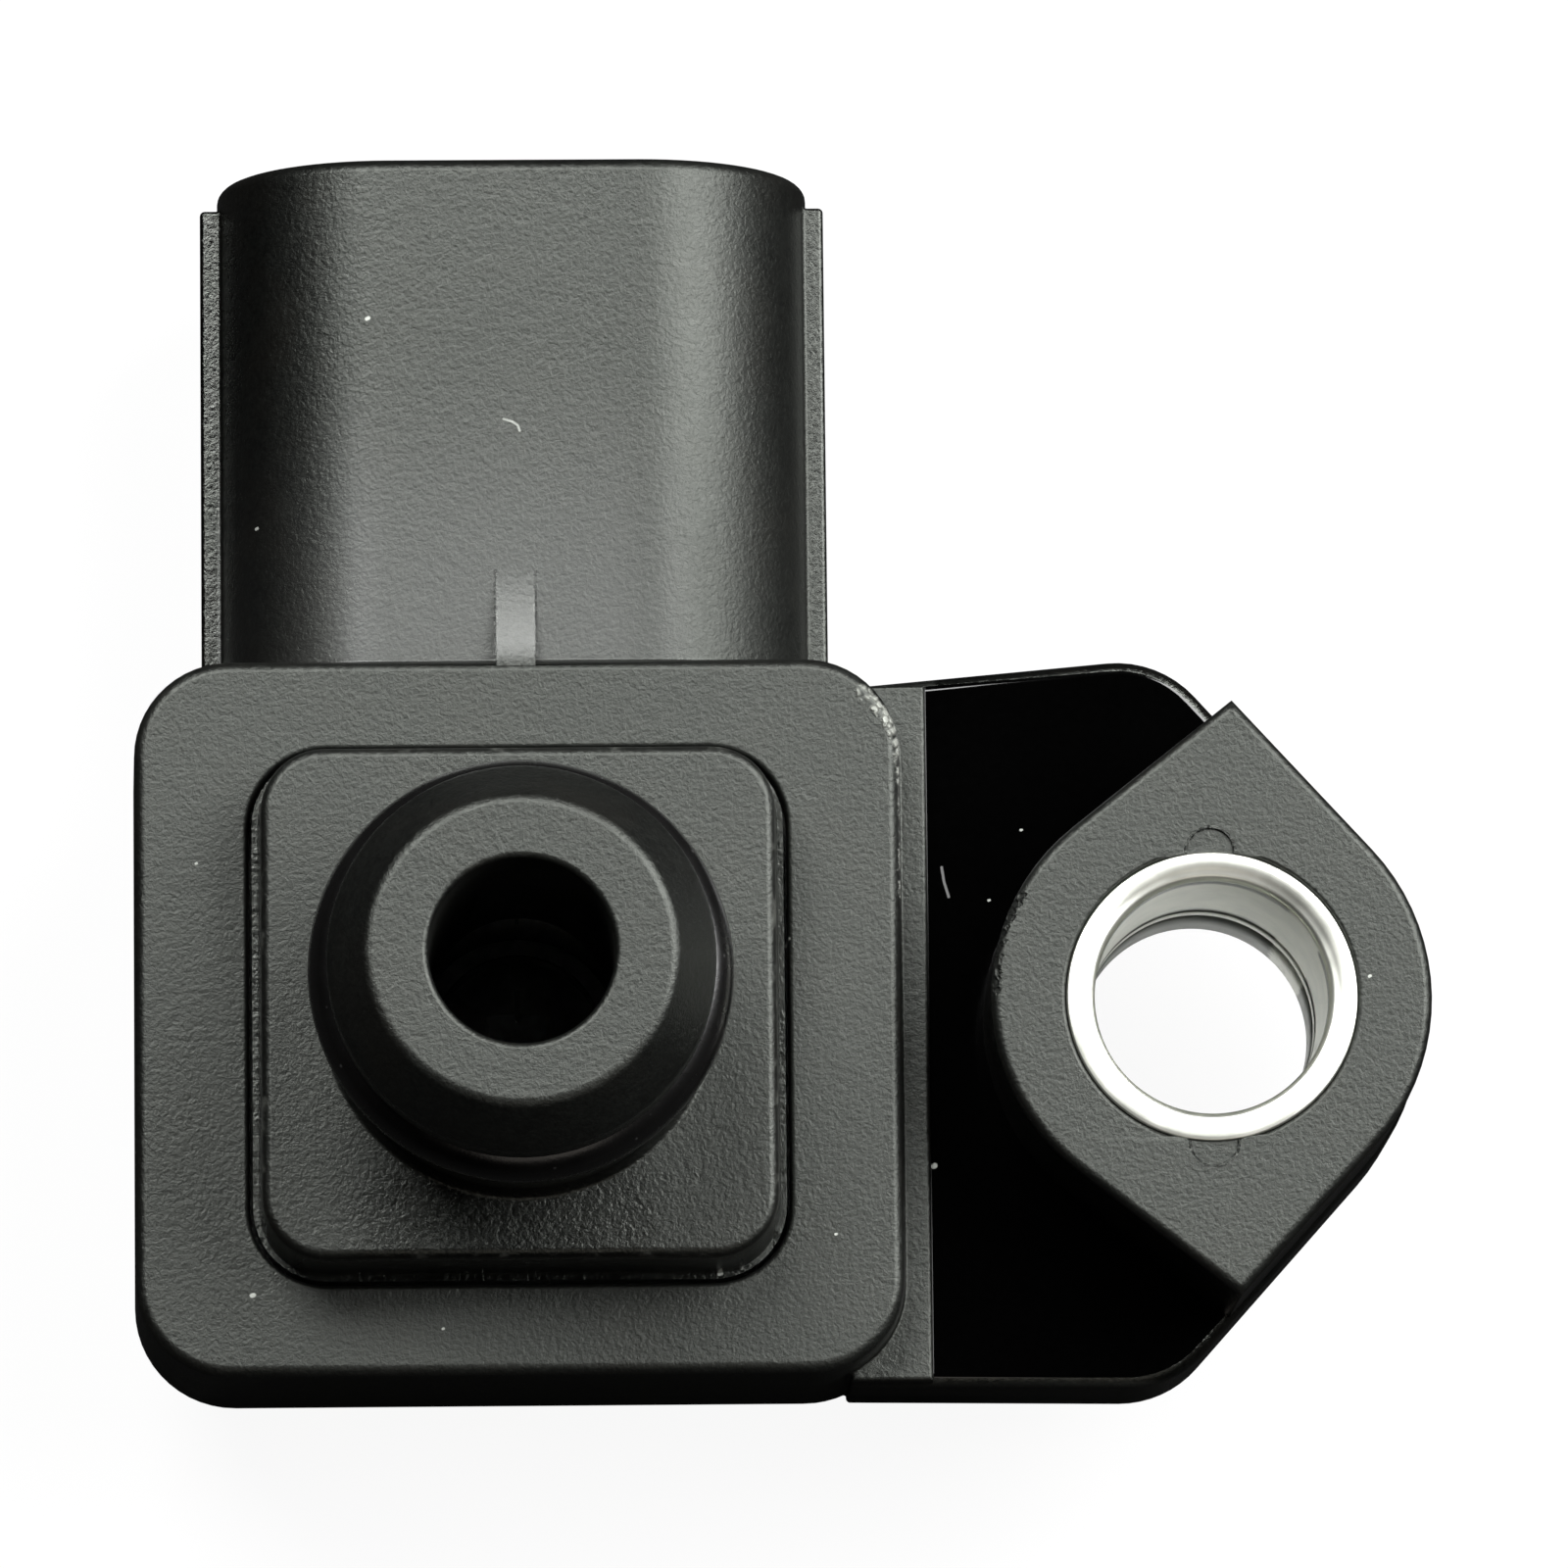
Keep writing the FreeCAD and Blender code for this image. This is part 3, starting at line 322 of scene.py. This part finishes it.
def housing_plastic():
    """The housing's plastic, with a fibre on the shroud, a scraped edge whose pale flakes are partly a
    painted highlight, and a chipped pad.
    """
    finish, base, rough, height = moulded_plastic("housing_plastic")
    z = finish.axes()[2]
    flakes = finish.cells(0.24 * MM).ramp(0.75, 0.35)
    scrape_and_glint = finish.line(SCRAPE_AND_GLINT, 0.24, 0.3) * z.ramp(FACE_LEVEL - 2.0 * MM, FACE_LEVEL - 0.2 * MM) * flakes
    chip = finish.line(PAD_CHIP, 0.3, 0.42) * z.ramp(SEAT - 0.8 * MM, SEAT - 0.1 * MM)
    base = finish.blend(finish.line(FIBRE, 0.045) * 0.5, base, (0.45, 0.47, 0.43))
    # Painted highlight: the pale colour of the flakes stands partly for the light they catch on the block's
    # edge.
    base = finish.blend(scrape_and_glint * 0.8, base, (0.3, 0.31, 0.28))
    base = finish.blend(chip, base, 0.0008)
    height = height + 1.4 * flakes * scrape_and_glint - 1.8 * chip * flakes
    shroud_rough, second_gloss = shroud_gloss(finish)
    rough = rough + shroud_rough + side_gloss(finish) - 0.22 * mark_outlines(finish)
    rough = rough - 0.12 * scrape_and_glint + 0.1 * chip
    finish.set(Coat_Roughness=0.36, Coat_Weight=second_gloss)
    finish.set(Base_Color=base, Roughness=rough, Normal=finish.bump(height, GRAIN_DEPTH))
    return finish.material


def cover_plastic():
    """The cover's plastic, with pale wear and a painted highlight along the edge of its square boss, and
    smooth sides.
    """
    finish, base, rough, height = moulded_plastic("cover_plastic")
    x, y, z = finish.axes()
    reach = abs(x).highest(abs(y))
    worn_glint_patches = finish.noise(1.0 * MM, detail=4.0, roughness=0.7).ramp(0.52, 0.68)
    worn_edge_glint = reach.ramp(BOSS_HALF - 0.25 * MM, BOSS_HALF + 0.1 * MM) * z.ramp(SEAT - 0.8 * MM, SEAT - 0.1 * MM)
    sides = reach.ramp(BOSS_HALF - 0.2 * MM, BOSS_HALF) * z.ramp(SEAT - 0.25 * MM, SEAT - 0.6 * MM)
    strip = finish.line(RUBBED_STRIP, 3.0) * z.ramp(SEAT + 0.6 * MM, SEAT + 0.2 * MM)
    # Painted highlight: the pale edge colour is partly wear and partly the glint that the rounded edge
    # catches.
    base = finish.blend(worn_edge_glint * worn_glint_patches * 0.5, base, (0.14, 0.145, 0.13))
    rough = rough - 0.2 * sides - 0.13 * strip
    finish.set(Base_Color=base, Roughness=rough, Normal=finish.bump(height, GRAIN_DEPTH))
    return finish.material


def polished_plastic():
    """The ear's web, which the mould left smooth."""
    finish = Finish("polished_plastic", IOR=1.5)
    smear = finish.noise(3.0 * MM, detail=3.0)
    fine = finish.noise(0.2 * MM, detail=2.0)
    base = finish.blend(fine, 0.0002, 0.0006)
    base = finish.blend(finish.line(WEB_STREAK, 0.05) * 0.35, base, 0.4)
    base = dusted(finish, base, WEB_DUST)
    normal = finish.bump(smear + 0.1 * fine, 0.002 * MM)
    finish.set(Base_Color=base, Roughness=0.05 + 0.05 * smear, Normal=normal)
    return finish.material


def ring_rubber():
    """Black nitrile rubber, smooth, with a little dust."""
    finish = Finish("ring_rubber", IOR=1.52)
    fine = finish.noise(0.12 * MM, detail=3.0)
    patches = finish.noise(1.3 * MM, detail=3.0, roughness=0.6)
    dust = finish.cells(0.7 * MM).ramp(0.1, 0.03)
    base = finish.blend(patches, 0.002, (0.005, 0.0048, 0.0046))
    base = finish.blend(dust * 0.4, base, 0.08)
    normal = finish.bump(fine + 0.4 * patches, 0.004 * MM)
    finish.set(Base_Color=base, Roughness=0.2 + 0.14 * patches, Normal=normal)
    return finish.material


def zinc_plate():
    """Zinc on the turned sleeve: fine rings round its axis, cloudy tone, and dark bands of painted shade in
    its bore.
    """
    finish = Finish("zinc_plate", Metallic=1.0)
    x, y, z = finish.axes()
    x, y = x - EAR.x, y - EAR.y
    radius = (x * x + y * y) ** 0.5
    rings = finish.noise(1.0, detail=3.0, place=finish.vector(radius * 9000.0, z * 9000.0))
    cloud = finish.noise(1.4 * MM, detail=4.0, roughness=0.6)
    base = finish.blend(cloud.ramp(0.3, 0.7), (0.84, 0.86, 0.78), (0.95, 0.96, 0.88))
    base = finish.blend(rings.ramp(0.4, 0.8) * 0.12, base, (0.62, 0.64, 0.6))
    # Painted shade in the bore: the burr's shadow under the rim, the shade of the rolled groove, and the dark
    # depth below 7 mm, left out along the burr.
    uneven = z + (cloud - 0.5) * (0.5 * MM)
    bore_shade = uneven.ramp(-0.2 * MM, -0.32 * MM) * uneven.ramp(-0.95 * MM, -0.55 * MM)
    bore_shade = bore_shade + uneven.ramp(-5.5 * MM, -5.9 * MM) * uneven.ramp(-6.5 * MM, -6.2 * MM)
    bore_shade = bore_shade + uneven.ramp(-6.9 * MM, -7.1 * MM)
    burr = finish.line(BURR, 0.3, 0.3)
    base = finish.blend(bore_shade * (1.0 - burr) * 0.8, base, (0.1, 0.11, 0.1))
    normal = finish.bump(rings + 0.3 * cloud, 0.005 * MM)
    finish.set(Base_Color=base, Roughness=0.3 + 0.14 * cloud, Normal=normal)
    return finish.material


def drawn_metal(name, base, shade, roughness):
    """Bright metal with a fine drawn grain along Y."""
    finish = Finish(name, Metallic=1.0)
    x, y, z = finish.axes()
    lines = finish.noise(1.0, detail=3.0, place=finish.vector(x * 12000.0, y * 700.0, z * 12000.0))
    cloud = finish.noise(0.8 * MM, detail=3.0)
    tone = finish.blend(cloud, shade, base)
    finish.set(Base_Color=tone, Roughness=roughness + 0.12 * lines, Normal=finish.bump(lines, 0.003 * MM))
    return finish.material


def fine_surface(name, dark, light, size, roughness, depth, **constants):
    """A small part's body: two tones in patches of one size, with a bump of that size."""
    finish = Finish(name, **constants)
    patches = finish.noise(size, detail=3.0, roughness=0.6)
    grain = finish.noise(size / 5, detail=2.0)
    base = finish.blend(patches.ramp(0.3, 0.7), dark, light)
    normal = finish.bump(patches + 0.5 * grain, depth)
    finish.set(Base_Color=base, Roughness=roughness + 0.1 * grain, Normal=normal)
    return finish.material


# Shapes

def finished(name, bm, *materials):
    """Turns a bmesh into a smooth-shaded piece with these materials."""
    mesh = bpy.data.meshes.new(name)
    bm.to_mesh(mesh)
    bm.free()
    mesh.shade_smooth()
    piece = bpy.data.objects.new(name, mesh)
    bpy.context.scene.collection.objects.link(piece)
    for material in materials:
        mesh.materials.append(material)
    return piece


def keep(piece, node):
    """Fixes a piece to the sensor and hides the node that it stands for."""
    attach(piece, "root")
    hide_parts(node)
    return piece


def weigh_faces(piece):
    """Turns the shading at each corner towards its largest face, so that level faces look level."""
    weighted = piece.modifiers.new("face_weights", "WEIGHTED_NORMAL")
    weighted.mode = "FACE_AREA"
    weighted.weight = 100
    return weighted


def boxes(*sizes):
    """Boxes in metres from pairs of corners in millimetres."""
    return [tuple(Vector(corner) * MM for corner in box) for box in sizes]


def planes(*rows):
    """Cutting planes in metres, each with the box of the faces that it cuts."""
    return [(axis, place * MM, boxes(box)[0]) for axis, place, box in rows]


def within(box, point):
    return all(low < part < high for low, part, high in zip(box[0], point, box[1]))


def from_edge(point, edge):
    """How far a point is from an edge."""
    start, end = (vert.co for vert in edge.verts)
    share = intersect_point_line(point, start, end)[1]
    return (point - start.lerp(end, min(1.0, max(0.0, share)))).length


def way_out(edge, vert):
    """An edge's direction away from one of its ends."""
    return (edge.other_vert(vert).co - vert.co).normalized()


def runs_of(edges):
    """Sorts edges into runs, in which each edge goes on from the last with only a small turn."""
    straight_on = -0.75
    runs = {edge: {edge} for edge in edges}
    for edge in edges:
        for vert in edge.verts:
            for other in vert.link_edges:
                if other in runs and runs[other] is not runs[edge]:
                    if way_out(edge, vert).dot(way_out(other, vert)) < straight_on:
                        joined = runs[edge] | runs[other]
                        runs.update((member, joined) for member in joined)
    return list({id(run): run for run in runs.values()}.values())


def room_beside(edge, run):
    """How far the edges round a sharp edge, outside its own run, leave room for its rounding."""
    start, end = (vert.co for vert in edge.verts)
    samples = [start.lerp(end, share) for share in (0.1, 0.5, 0.9)]
    touching = {other for vert in edge.verts for other in vert.link_edges}
    across = {other for face in edge.link_faces for other in face.edges} - touching - run
    room = [from_edge(point, other) for other in across for point in samples]
    for vert in edge.verts:
        way = way_out(edge, vert)
        for other in vert.link_edges:
            step = other.other_vert(vert).co - vert.co
            ahead = step.dot(way)
            if other not in run and ahead > 0.5 * step.length:
                room.append((step - way * ahead).length)
    return min(room, default=1.0)


def divide(bm, cuts):
    """Joins a mesh's level triangles into whole faces, cut by the planes given so that none has a hole."""
    for axis, place, box in cuts:
        faces = [face for face in bm.faces if within(box, face.calc_center_median())]
        edges = {edge for face in faces for edge in face.edges}
        verts = {vert for face in faces for vert in face.verts}
        spot, normal = Vector(), Vector()
        spot["xyz".index(axis)], normal["xyz".index(axis)] = place, 1.0
        cut = bmesh.ops.bisect_plane(
            bm, geom=[*verts, *edges, *faces], dist=0.002 * MM, plane_co=spot, plane_no=normal,
        )
        for part in cut["geom_cut"]:
            if isinstance(part, bmesh.types.BMEdge):
                part.seam = True
    bmesh.ops.dissolve_limit(
        bm, angle_limit=math.radians(0.4), verts=bm.verts, edges=bm.edges, delimit={"SEAM"},
    )


def sharp_edges(bm, plain):
    """The edges to round. Those in plain boxes stay sharp, and are marked so."""
    sharp = []
    for edge in bm.edges:
        middle = (edge.verts[0].co + edge.verts[1].co) / 2
        if len(edge.link_faces) == 2 and edge.calc_face_angle(0.0) > SHARP_TURN:
            if any(within(box, middle) for box in plain):
                edge.smooth = False
            else:
                sharp.append(edge)
    return sharp


def softened(node, name, width, materials, cuts=(), plain=(), segments=3):
    """A copy of a node whose sharp edges are rounded as far as there is room, but not in plain boxes."""
    bm = bmesh.new()
    bm.from_mesh(NODES[node].data)
    bmesh.ops.remove_doubles(bm, verts=bm.verts, dist=MERGE)
    divide(bm, cuts)
    weight = bm.edges.layers.float.new("bevel_weight_edge")
    for run in runs_of(sharp_edges(bm, plain)):
        room = min(room_beside(edge, run) for edge in run)
        for edge in run:
            edge[weight] = min(1.0, 0.4 * room / width)
            edge.smooth = edge[weight] * width > LEAST_ROUNDING
    piece = finished(name, bm, *materials)
    bevel = piece.modifiers.new("rounding", "BEVEL")
    bevel.limit_method = "WEIGHT"
    bevel.width = width
    bevel.segments = segments
    bevel.use_clamp_overlap = False
    bevel.profile = 0.5
    weigh_faces(piece).keep_sharp = True
    return keep(piece, node)


def spun(name, outline, centre, steps, material):
    """Turns a closed outline of (radius, height) points about an upright axis."""
    bm = bmesh.new()
    verts = [bm.verts.new((centre.x + radius, centre.y, height)) for radius, height in outline]
    edges = [bm.edges.new(pair) for pair in zip(verts, verts[1:] + verts[:1])]
    bmesh.ops.spin(
        bm, geom=verts + edges, cent=centre, axis=UP, angle=2 * math.pi, steps=steps, use_merge=True,
    )
    bmesh.ops.remove_doubles(bm, verts=bm.verts, dist=MERGE)
    bmesh.ops.recalc_face_normals(bm, faces=bm.faces)
    return finished(name, bm, material)


def make_housing():
    """The housing with rounded edges, and the second finish on the level top of the ear's web."""
    housing = softened(
        "housing", "housing_moulding", EDGE_WIDTH, [housing_plastic(), polished_plastic()],
        HOUSING_CUTS, HOUSING_PLAIN,
    )
    for face in housing.data.polygons:
        level = abs(face.center.z - WEB_LEVEL) < 0.02 * MM
        if level and face.normal.z > 0.95 and face.center.x > LEDGE_END - 0.1 * MM:
            face.material_index = 1


def make_cover():
    softened(
        "port_cover", "cover_moulding", EDGE_WIDTH, [cover_plastic()],
        COVER_CUTS, COVER_PLAIN,
    )


def make_ring():
    """The O-ring with the thin flash line that its mould leaves inside and outside."""
    inside = 8.04 * MM
    flash = 0.02 * MM
    points = 40
    section = (RING_HIGH.x - RING_LOW.x - inside) / 4
    middle = RING_HIGH.x - section
    level = (RING_LOW.z + RING_HIGH.z) / 2
    outline = []
    for step in range(points):
        angle = 2 * math.pi * step / points
        reach = section if step in (0, points // 2) else section - flash
        outline.append((middle + reach * math.cos(angle), level + reach * math.sin(angle)))
    ring = spun("o_ring", outline, Vector((0, 0, 0)), 144, ring_rubber())
    keep(ring, "port_o_ring")


def make_sleeve():
    """The turned sleeve: broken edges, a faint step round its rim and two rolled bands deep in its bore."""
    outer, inner, foot = SLEEVE_RADIUS, HOLE_RADIUS, SLEEVE_LOW.z
    edge, lead = 0.06 * MM, 0.18 * MM
    step_radius, step_depth = outer - 0.47 * MM, 0.025 * MM
    band, sunk = 0.16 * MM, 0.07 * MM
    band_levels = -6.1 * MM, -7.2 * MM
    outline = [
        (outer, foot + edge),
        (outer, SEAT - edge),
        (outer - edge / 3, SEAT - edge / 3),
        (outer - edge, SEAT),
        (step_radius + 0.03 * MM, SEAT),
        (step_radius, SEAT - step_depth),
        (inner + lead, SEAT - step_depth),
        (inner + 0.3 * lead, SEAT - 0.5 * lead),
        (inner, SEAT - lead - step_depth),
    ]
    for level in band_levels:
        outline += [
            (inner, level + band),
            (inner + sunk, level + 0.6 * band),
            (inner + sunk, level - 0.6 * band),
            (inner, level - band),
        ]
    outline += [
        (inner, foot + lead),
        (inner + lead, foot),
        (outer - edge, foot),
    ]
    sleeve = spun("zinc_sleeve", outline, EAR, 160, zinc_plate())
    weigh_faces(sleeve)
    keep(sleeve, "fixing_sleeve")


def make_blades():
    """The three tinned blades with rounded edges."""
    tinned = drawn_metal("tinned_blade", (0.82, 0.81, 0.78), (0.66, 0.65, 0.62), 0.24)
    for name in ("supply", "signal", "ground"):
        softened(f"{name}_terminal", f"{name}_blade", 0.06 * MM, [tinned], segments=2)


def dress_inner_parts():
    """Gives the sealed nodes their finishes, some of which two or more of them share."""
    adhesive = fine_surface("seal_adhesive", 0.02, 0.05, 0.8 * MM, 0.4, 0.02 * MM)
    board = fine_surface("board_ceramic", (0.72, 0.7, 0.64), (0.86, 0.85, 0.8), 0.5 * MM, 0.5, 0.006 * MM)
    glass = fine_surface("pedestal_glass", 0.8, 0.9, 0.4 * MM, 0.08, 0.002 * MM, Transmission_Weight=0.8)
    silicon = fine_surface("die_silicon", (0.1, 0.11, 0.15), (0.2, 0.22, 0.28), 0.3 * MM, 0.15, 0.002 * MM)
    dam = fine_surface("dam_plastic", 0.05, 0.1, 0.4 * MM, 0.5, 0.008 * MM)
    gel = fine_surface(
        "clear_gel", 0.85, 0.95, 2.0 * MM, 0.05, 0.01 * MM, Transmission_Weight=0.9, IOR=1.4,
    )
    chip = fine_surface("chip_plastic", 0.015, 0.04, 0.2 * MM, 0.55, 0.008 * MM)
    small = fine_surface("small_ceramic", (0.42, 0.3, 0.2), (0.56, 0.42, 0.3), 0.3 * MM, 0.35, 0.006 * MM)
    wire = drawn_metal("wire_metal", (0.9, 0.9, 0.9), (0.75, 0.75, 0.75), 0.2)
    dressing = {
        "cover_adhesive": adhesive,
        "substrate_adhesive": adhesive,
        "circuit_substrate": board,
        "die_pedestal": glass,
        "pressure_die": silicon,
        "gel_dam": dam,
        "protective_gel": gel,
        "signal_chip": chip,
        "supply_capacitor": small,
        "output_capacitor": small,
        "filter_capacitor": small,
        "trim_resistor": small,
        "terminal_wires": wire,
        "die_wires": wire,
    }
    for node, material in dressing.items():
        NODES[node].data.materials.clear()
        NODES[node].data.materials.append(material)


# The scene round the sensor

VIEW_TILT, VIEW_YAW, VIEW_ROLL = math.radians(8.702), math.radians(-1.606), math.radians(-0.631)
VIEW_DISTANCE = 361.895 * MM
VIEW_TARGET = Vector((7.573, 6.567, -3.0)) * MM
PIXELS_PER_METRE = 35966.0
PHOTO_SIDE = 1600
SENSOR = 36.0

WORLD_LEVEL = 0.002
FLOOR_SHADE = 0.012
PAPER_SHADE = 0.85
LAMP_DISTANCE = 0.6
WARM = (1.0, 0.92, 0.84)


def set_camera():
    """The camera as it stood over the sensor."""
    back = Vector((
        math.sin(VIEW_YAW),
        -math.sin(VIEW_TILT) * math.cos(VIEW_YAW),
        math.cos(VIEW_TILT) * math.cos(VIEW_YAW),
    )).normalized()
    level = Vector((0, 1, 0)).cross(back).normalized()
    rise = back.cross(level)
    right = level * math.cos(VIEW_ROLL) + rise * math.sin(VIEW_ROLL)
    above = rise * math.cos(VIEW_ROLL) - level * math.sin(VIEW_ROLL)
    data = bpy.data.cameras.new("camera")
    data.sensor_width = SENSOR
    data.lens = PIXELS_PER_METRE * VIEW_DISTANCE / PHOTO_SIDE * SENSOR
    data.clip_start, data.clip_end = 0.01, 10.0
    camera = bpy.data.objects.new("camera", data)
    turn = Matrix((right, above, back)).transposed()
    camera.matrix_world = Matrix.Translation(VIEW_TARGET + back * VIEW_DISTANCE) @ turn.to_4x4()
    bpy.context.scene.collection.objects.link(camera)
    bpy.context.scene.camera = camera


def mixed(tree, factor, first, second):
    """Mixes two surfaces by a ray's kind or by a share."""
    mix = tree.nodes.new("ShaderNodeMixShader")
    if isinstance(factor, float):
        mix.inputs["Fac"].default_value = factor
    else:
        tree.links.new(factor, mix.inputs["Fac"])
    tree.links.new(first, mix.inputs[1])
    tree.links.new(second, mix.inputs[2])
    return mix.outputs[0]


def diffuse(tree, level):
    surface = tree.nodes.new("ShaderNodeBsdfDiffuse")
    surface.inputs["Color"].default_value = colour(level)
    return surface.outputs[0]


def add_floor(name, half, centre, drop, shade):
    """A square of floor: white with a soft shadow to the eye, and of one shade to the sensor."""
    bm = bmesh.new()
    bmesh.ops.create_grid(bm, x_segments=1, y_segments=1, size=half)
    bmesh.ops.translate(bm, verts=bm.verts, vec=(centre.x, centre.y, FLOOR_LEVEL - drop))
    material = bpy.data.materials.new(name)
    material.use_nodes = True
    tree = material.node_tree
    tree.nodes.remove(tree.nodes["Principled BSDF"])
    white = tree.nodes.new("ShaderNodeEmission")
    path = tree.nodes.new("ShaderNodeLightPath")
    seen = mixed(tree, 0.93, diffuse(tree, 0.9), white.outputs[0])
    surface = mixed(tree, path.outputs["Is Camera Ray"], diffuse(tree, shade), seen)
    tree.links.new(surface, tree.nodes["Material Output"].inputs["Surface"])
    finished(name, bm, material)


def set_world():
    """A nearly dark room that looks white to the camera."""
    world = bpy.data.worlds.new("studio")
    bpy.context.scene.world = world
    world.use_nodes = True
    tree = world.node_tree
    background = tree.nodes["Background"]
    background.inputs["Color"].default_value = colour(1.0)
    path = tree.nodes.new("ShaderNodeLightPath")
    level = tree.nodes.new("ShaderNodeMapRange")
    level.inputs["To Min"].default_value = WORLD_LEVEL
    level.inputs["To Max"].default_value = 1.0
    tree.links.new(path.outputs["Is Camera Ray"], level.inputs["Value"])
    tree.links.new(level.outputs[0], background.inputs["Strength"])


def add_softbox(name, direction, width, height, power, tint=(1.0, 1.0, 1.0)):
    """A rectangular lamp that faces the sensor from one direction."""
    data = bpy.data.lights.new(name, "AREA")
    data.shape = "RECTANGLE"
    data.size, data.size_y = width, height
    data.energy = power
    data.color = tint
    lamp = bpy.data.objects.new(name, data)
    way = Vector(direction).normalized()
    lamp.location = VIEW_TARGET + way * LAMP_DISTANCE
    lamp.rotation_mode = "QUATERNION"
    lamp.rotation_quaternion = way.to_track_quat("Z", "Y")
    bpy.context.scene.collection.objects.link(lamp)


# How the mouldings' edges are rounded

EDGE_WIDTH = 0.14 * MM
LEAST_ROUNDING = 0.01 * MM
SHARP_TURN = math.radians(24.0)

# Parts of the mouldings in millimetres, for the cuts through their faces

FAR = 50.0
ALL = ((-FAR, -FAR, -FAR), (FAR, FAR, FAR))
BACK_FACE = ((-FAR, -FAR, -FAR), (FAR, FAR, -14.9))
SHROUD_ENDS = ((-FAR, 10.9, -FAR), (FAR, FAR, FAR))
SOCKET_FLOOR = ((-7.0, 10.9, -FAR), (7.0, 11.1, FAR))
EAR_SIDE = ((12.0, -FAR, -FAR), (FAR, FAR, FAR))
HOUSING_CUTS = planes(
    ("x", 0.0, ALL), ("y", 0.0, ALL), ("z", -8.5, SHROUD_ENDS), ("x", EAR.x / MM, EAR_SIDE),
    ("x", -6.65, BACK_FACE), ("x", 6.65, BACK_FACE), ("y", -6.0, BACK_FACE), ("y", 6.0, BACK_FACE),
    ("x", -4.2, SOCKET_FLOOR), ("x", 4.2, SOCKET_FLOOR),
)
COVER_CUTS = planes(("x", 0.0, ALL), ("y", 0.0, ALL))

# Parts whose edges stay sharp: the sealed room, the ear's back outline, the front rib's root,
# the two marks beside the sleeve, and the cover's inside

SEALED_ROOM = ((-8.3, -8.3, -14.8), (8.3, 8.3, -3.2))
EAR_BACK = ((10.5, -12.0, -10.2), (27.0, 12.0, -9.8))
FRONT_RIB_ROOT = ((-0.8, 9.8, -3.6), (0.8, 12.9, -2.9))
UPPER_MOON = ((18.5, 3.9, -0.2), (20.5, 5.0, 0.1))
LOWER_MOON = ((18.5, -5.0, -0.2), (20.5, -3.9, 0.1))
HOUSING_PLAIN = boxes(SEALED_ROOM, EAR_BACK, FRONT_RIB_ROOT, UPPER_MOON, LOWER_MOON)
COVER_PLAIN = boxes(((-7.6, -7.6, -9.0), (7.6, 7.6, -2.9)))

# The studio and the sensor

set_camera()
set_world()
add_floor("floor", 3.0, Vector(), 0.02 * MM, FLOOR_SHADE)
add_floor("paper_under_hole", 4.0 * MM, EAR, 0.01 * MM, PAPER_SHADE)
add_softbox("key", (0.70, 0.38, 0.85), 0.44, 0.42, 7.5)
add_softbox("upper", (-0.28, 0.50, 0.82), 0.28, 0.25, 4.0)
add_softbox("lower", (0.10, -0.65, 0.75), 0.3, 0.2, 0.2, WARM)

make_housing()
make_cover()
make_ring()
make_sleeve()
make_blades()
dress_inner_parts()

bpy.context.scene.view_settings.view_transform = "Standard"
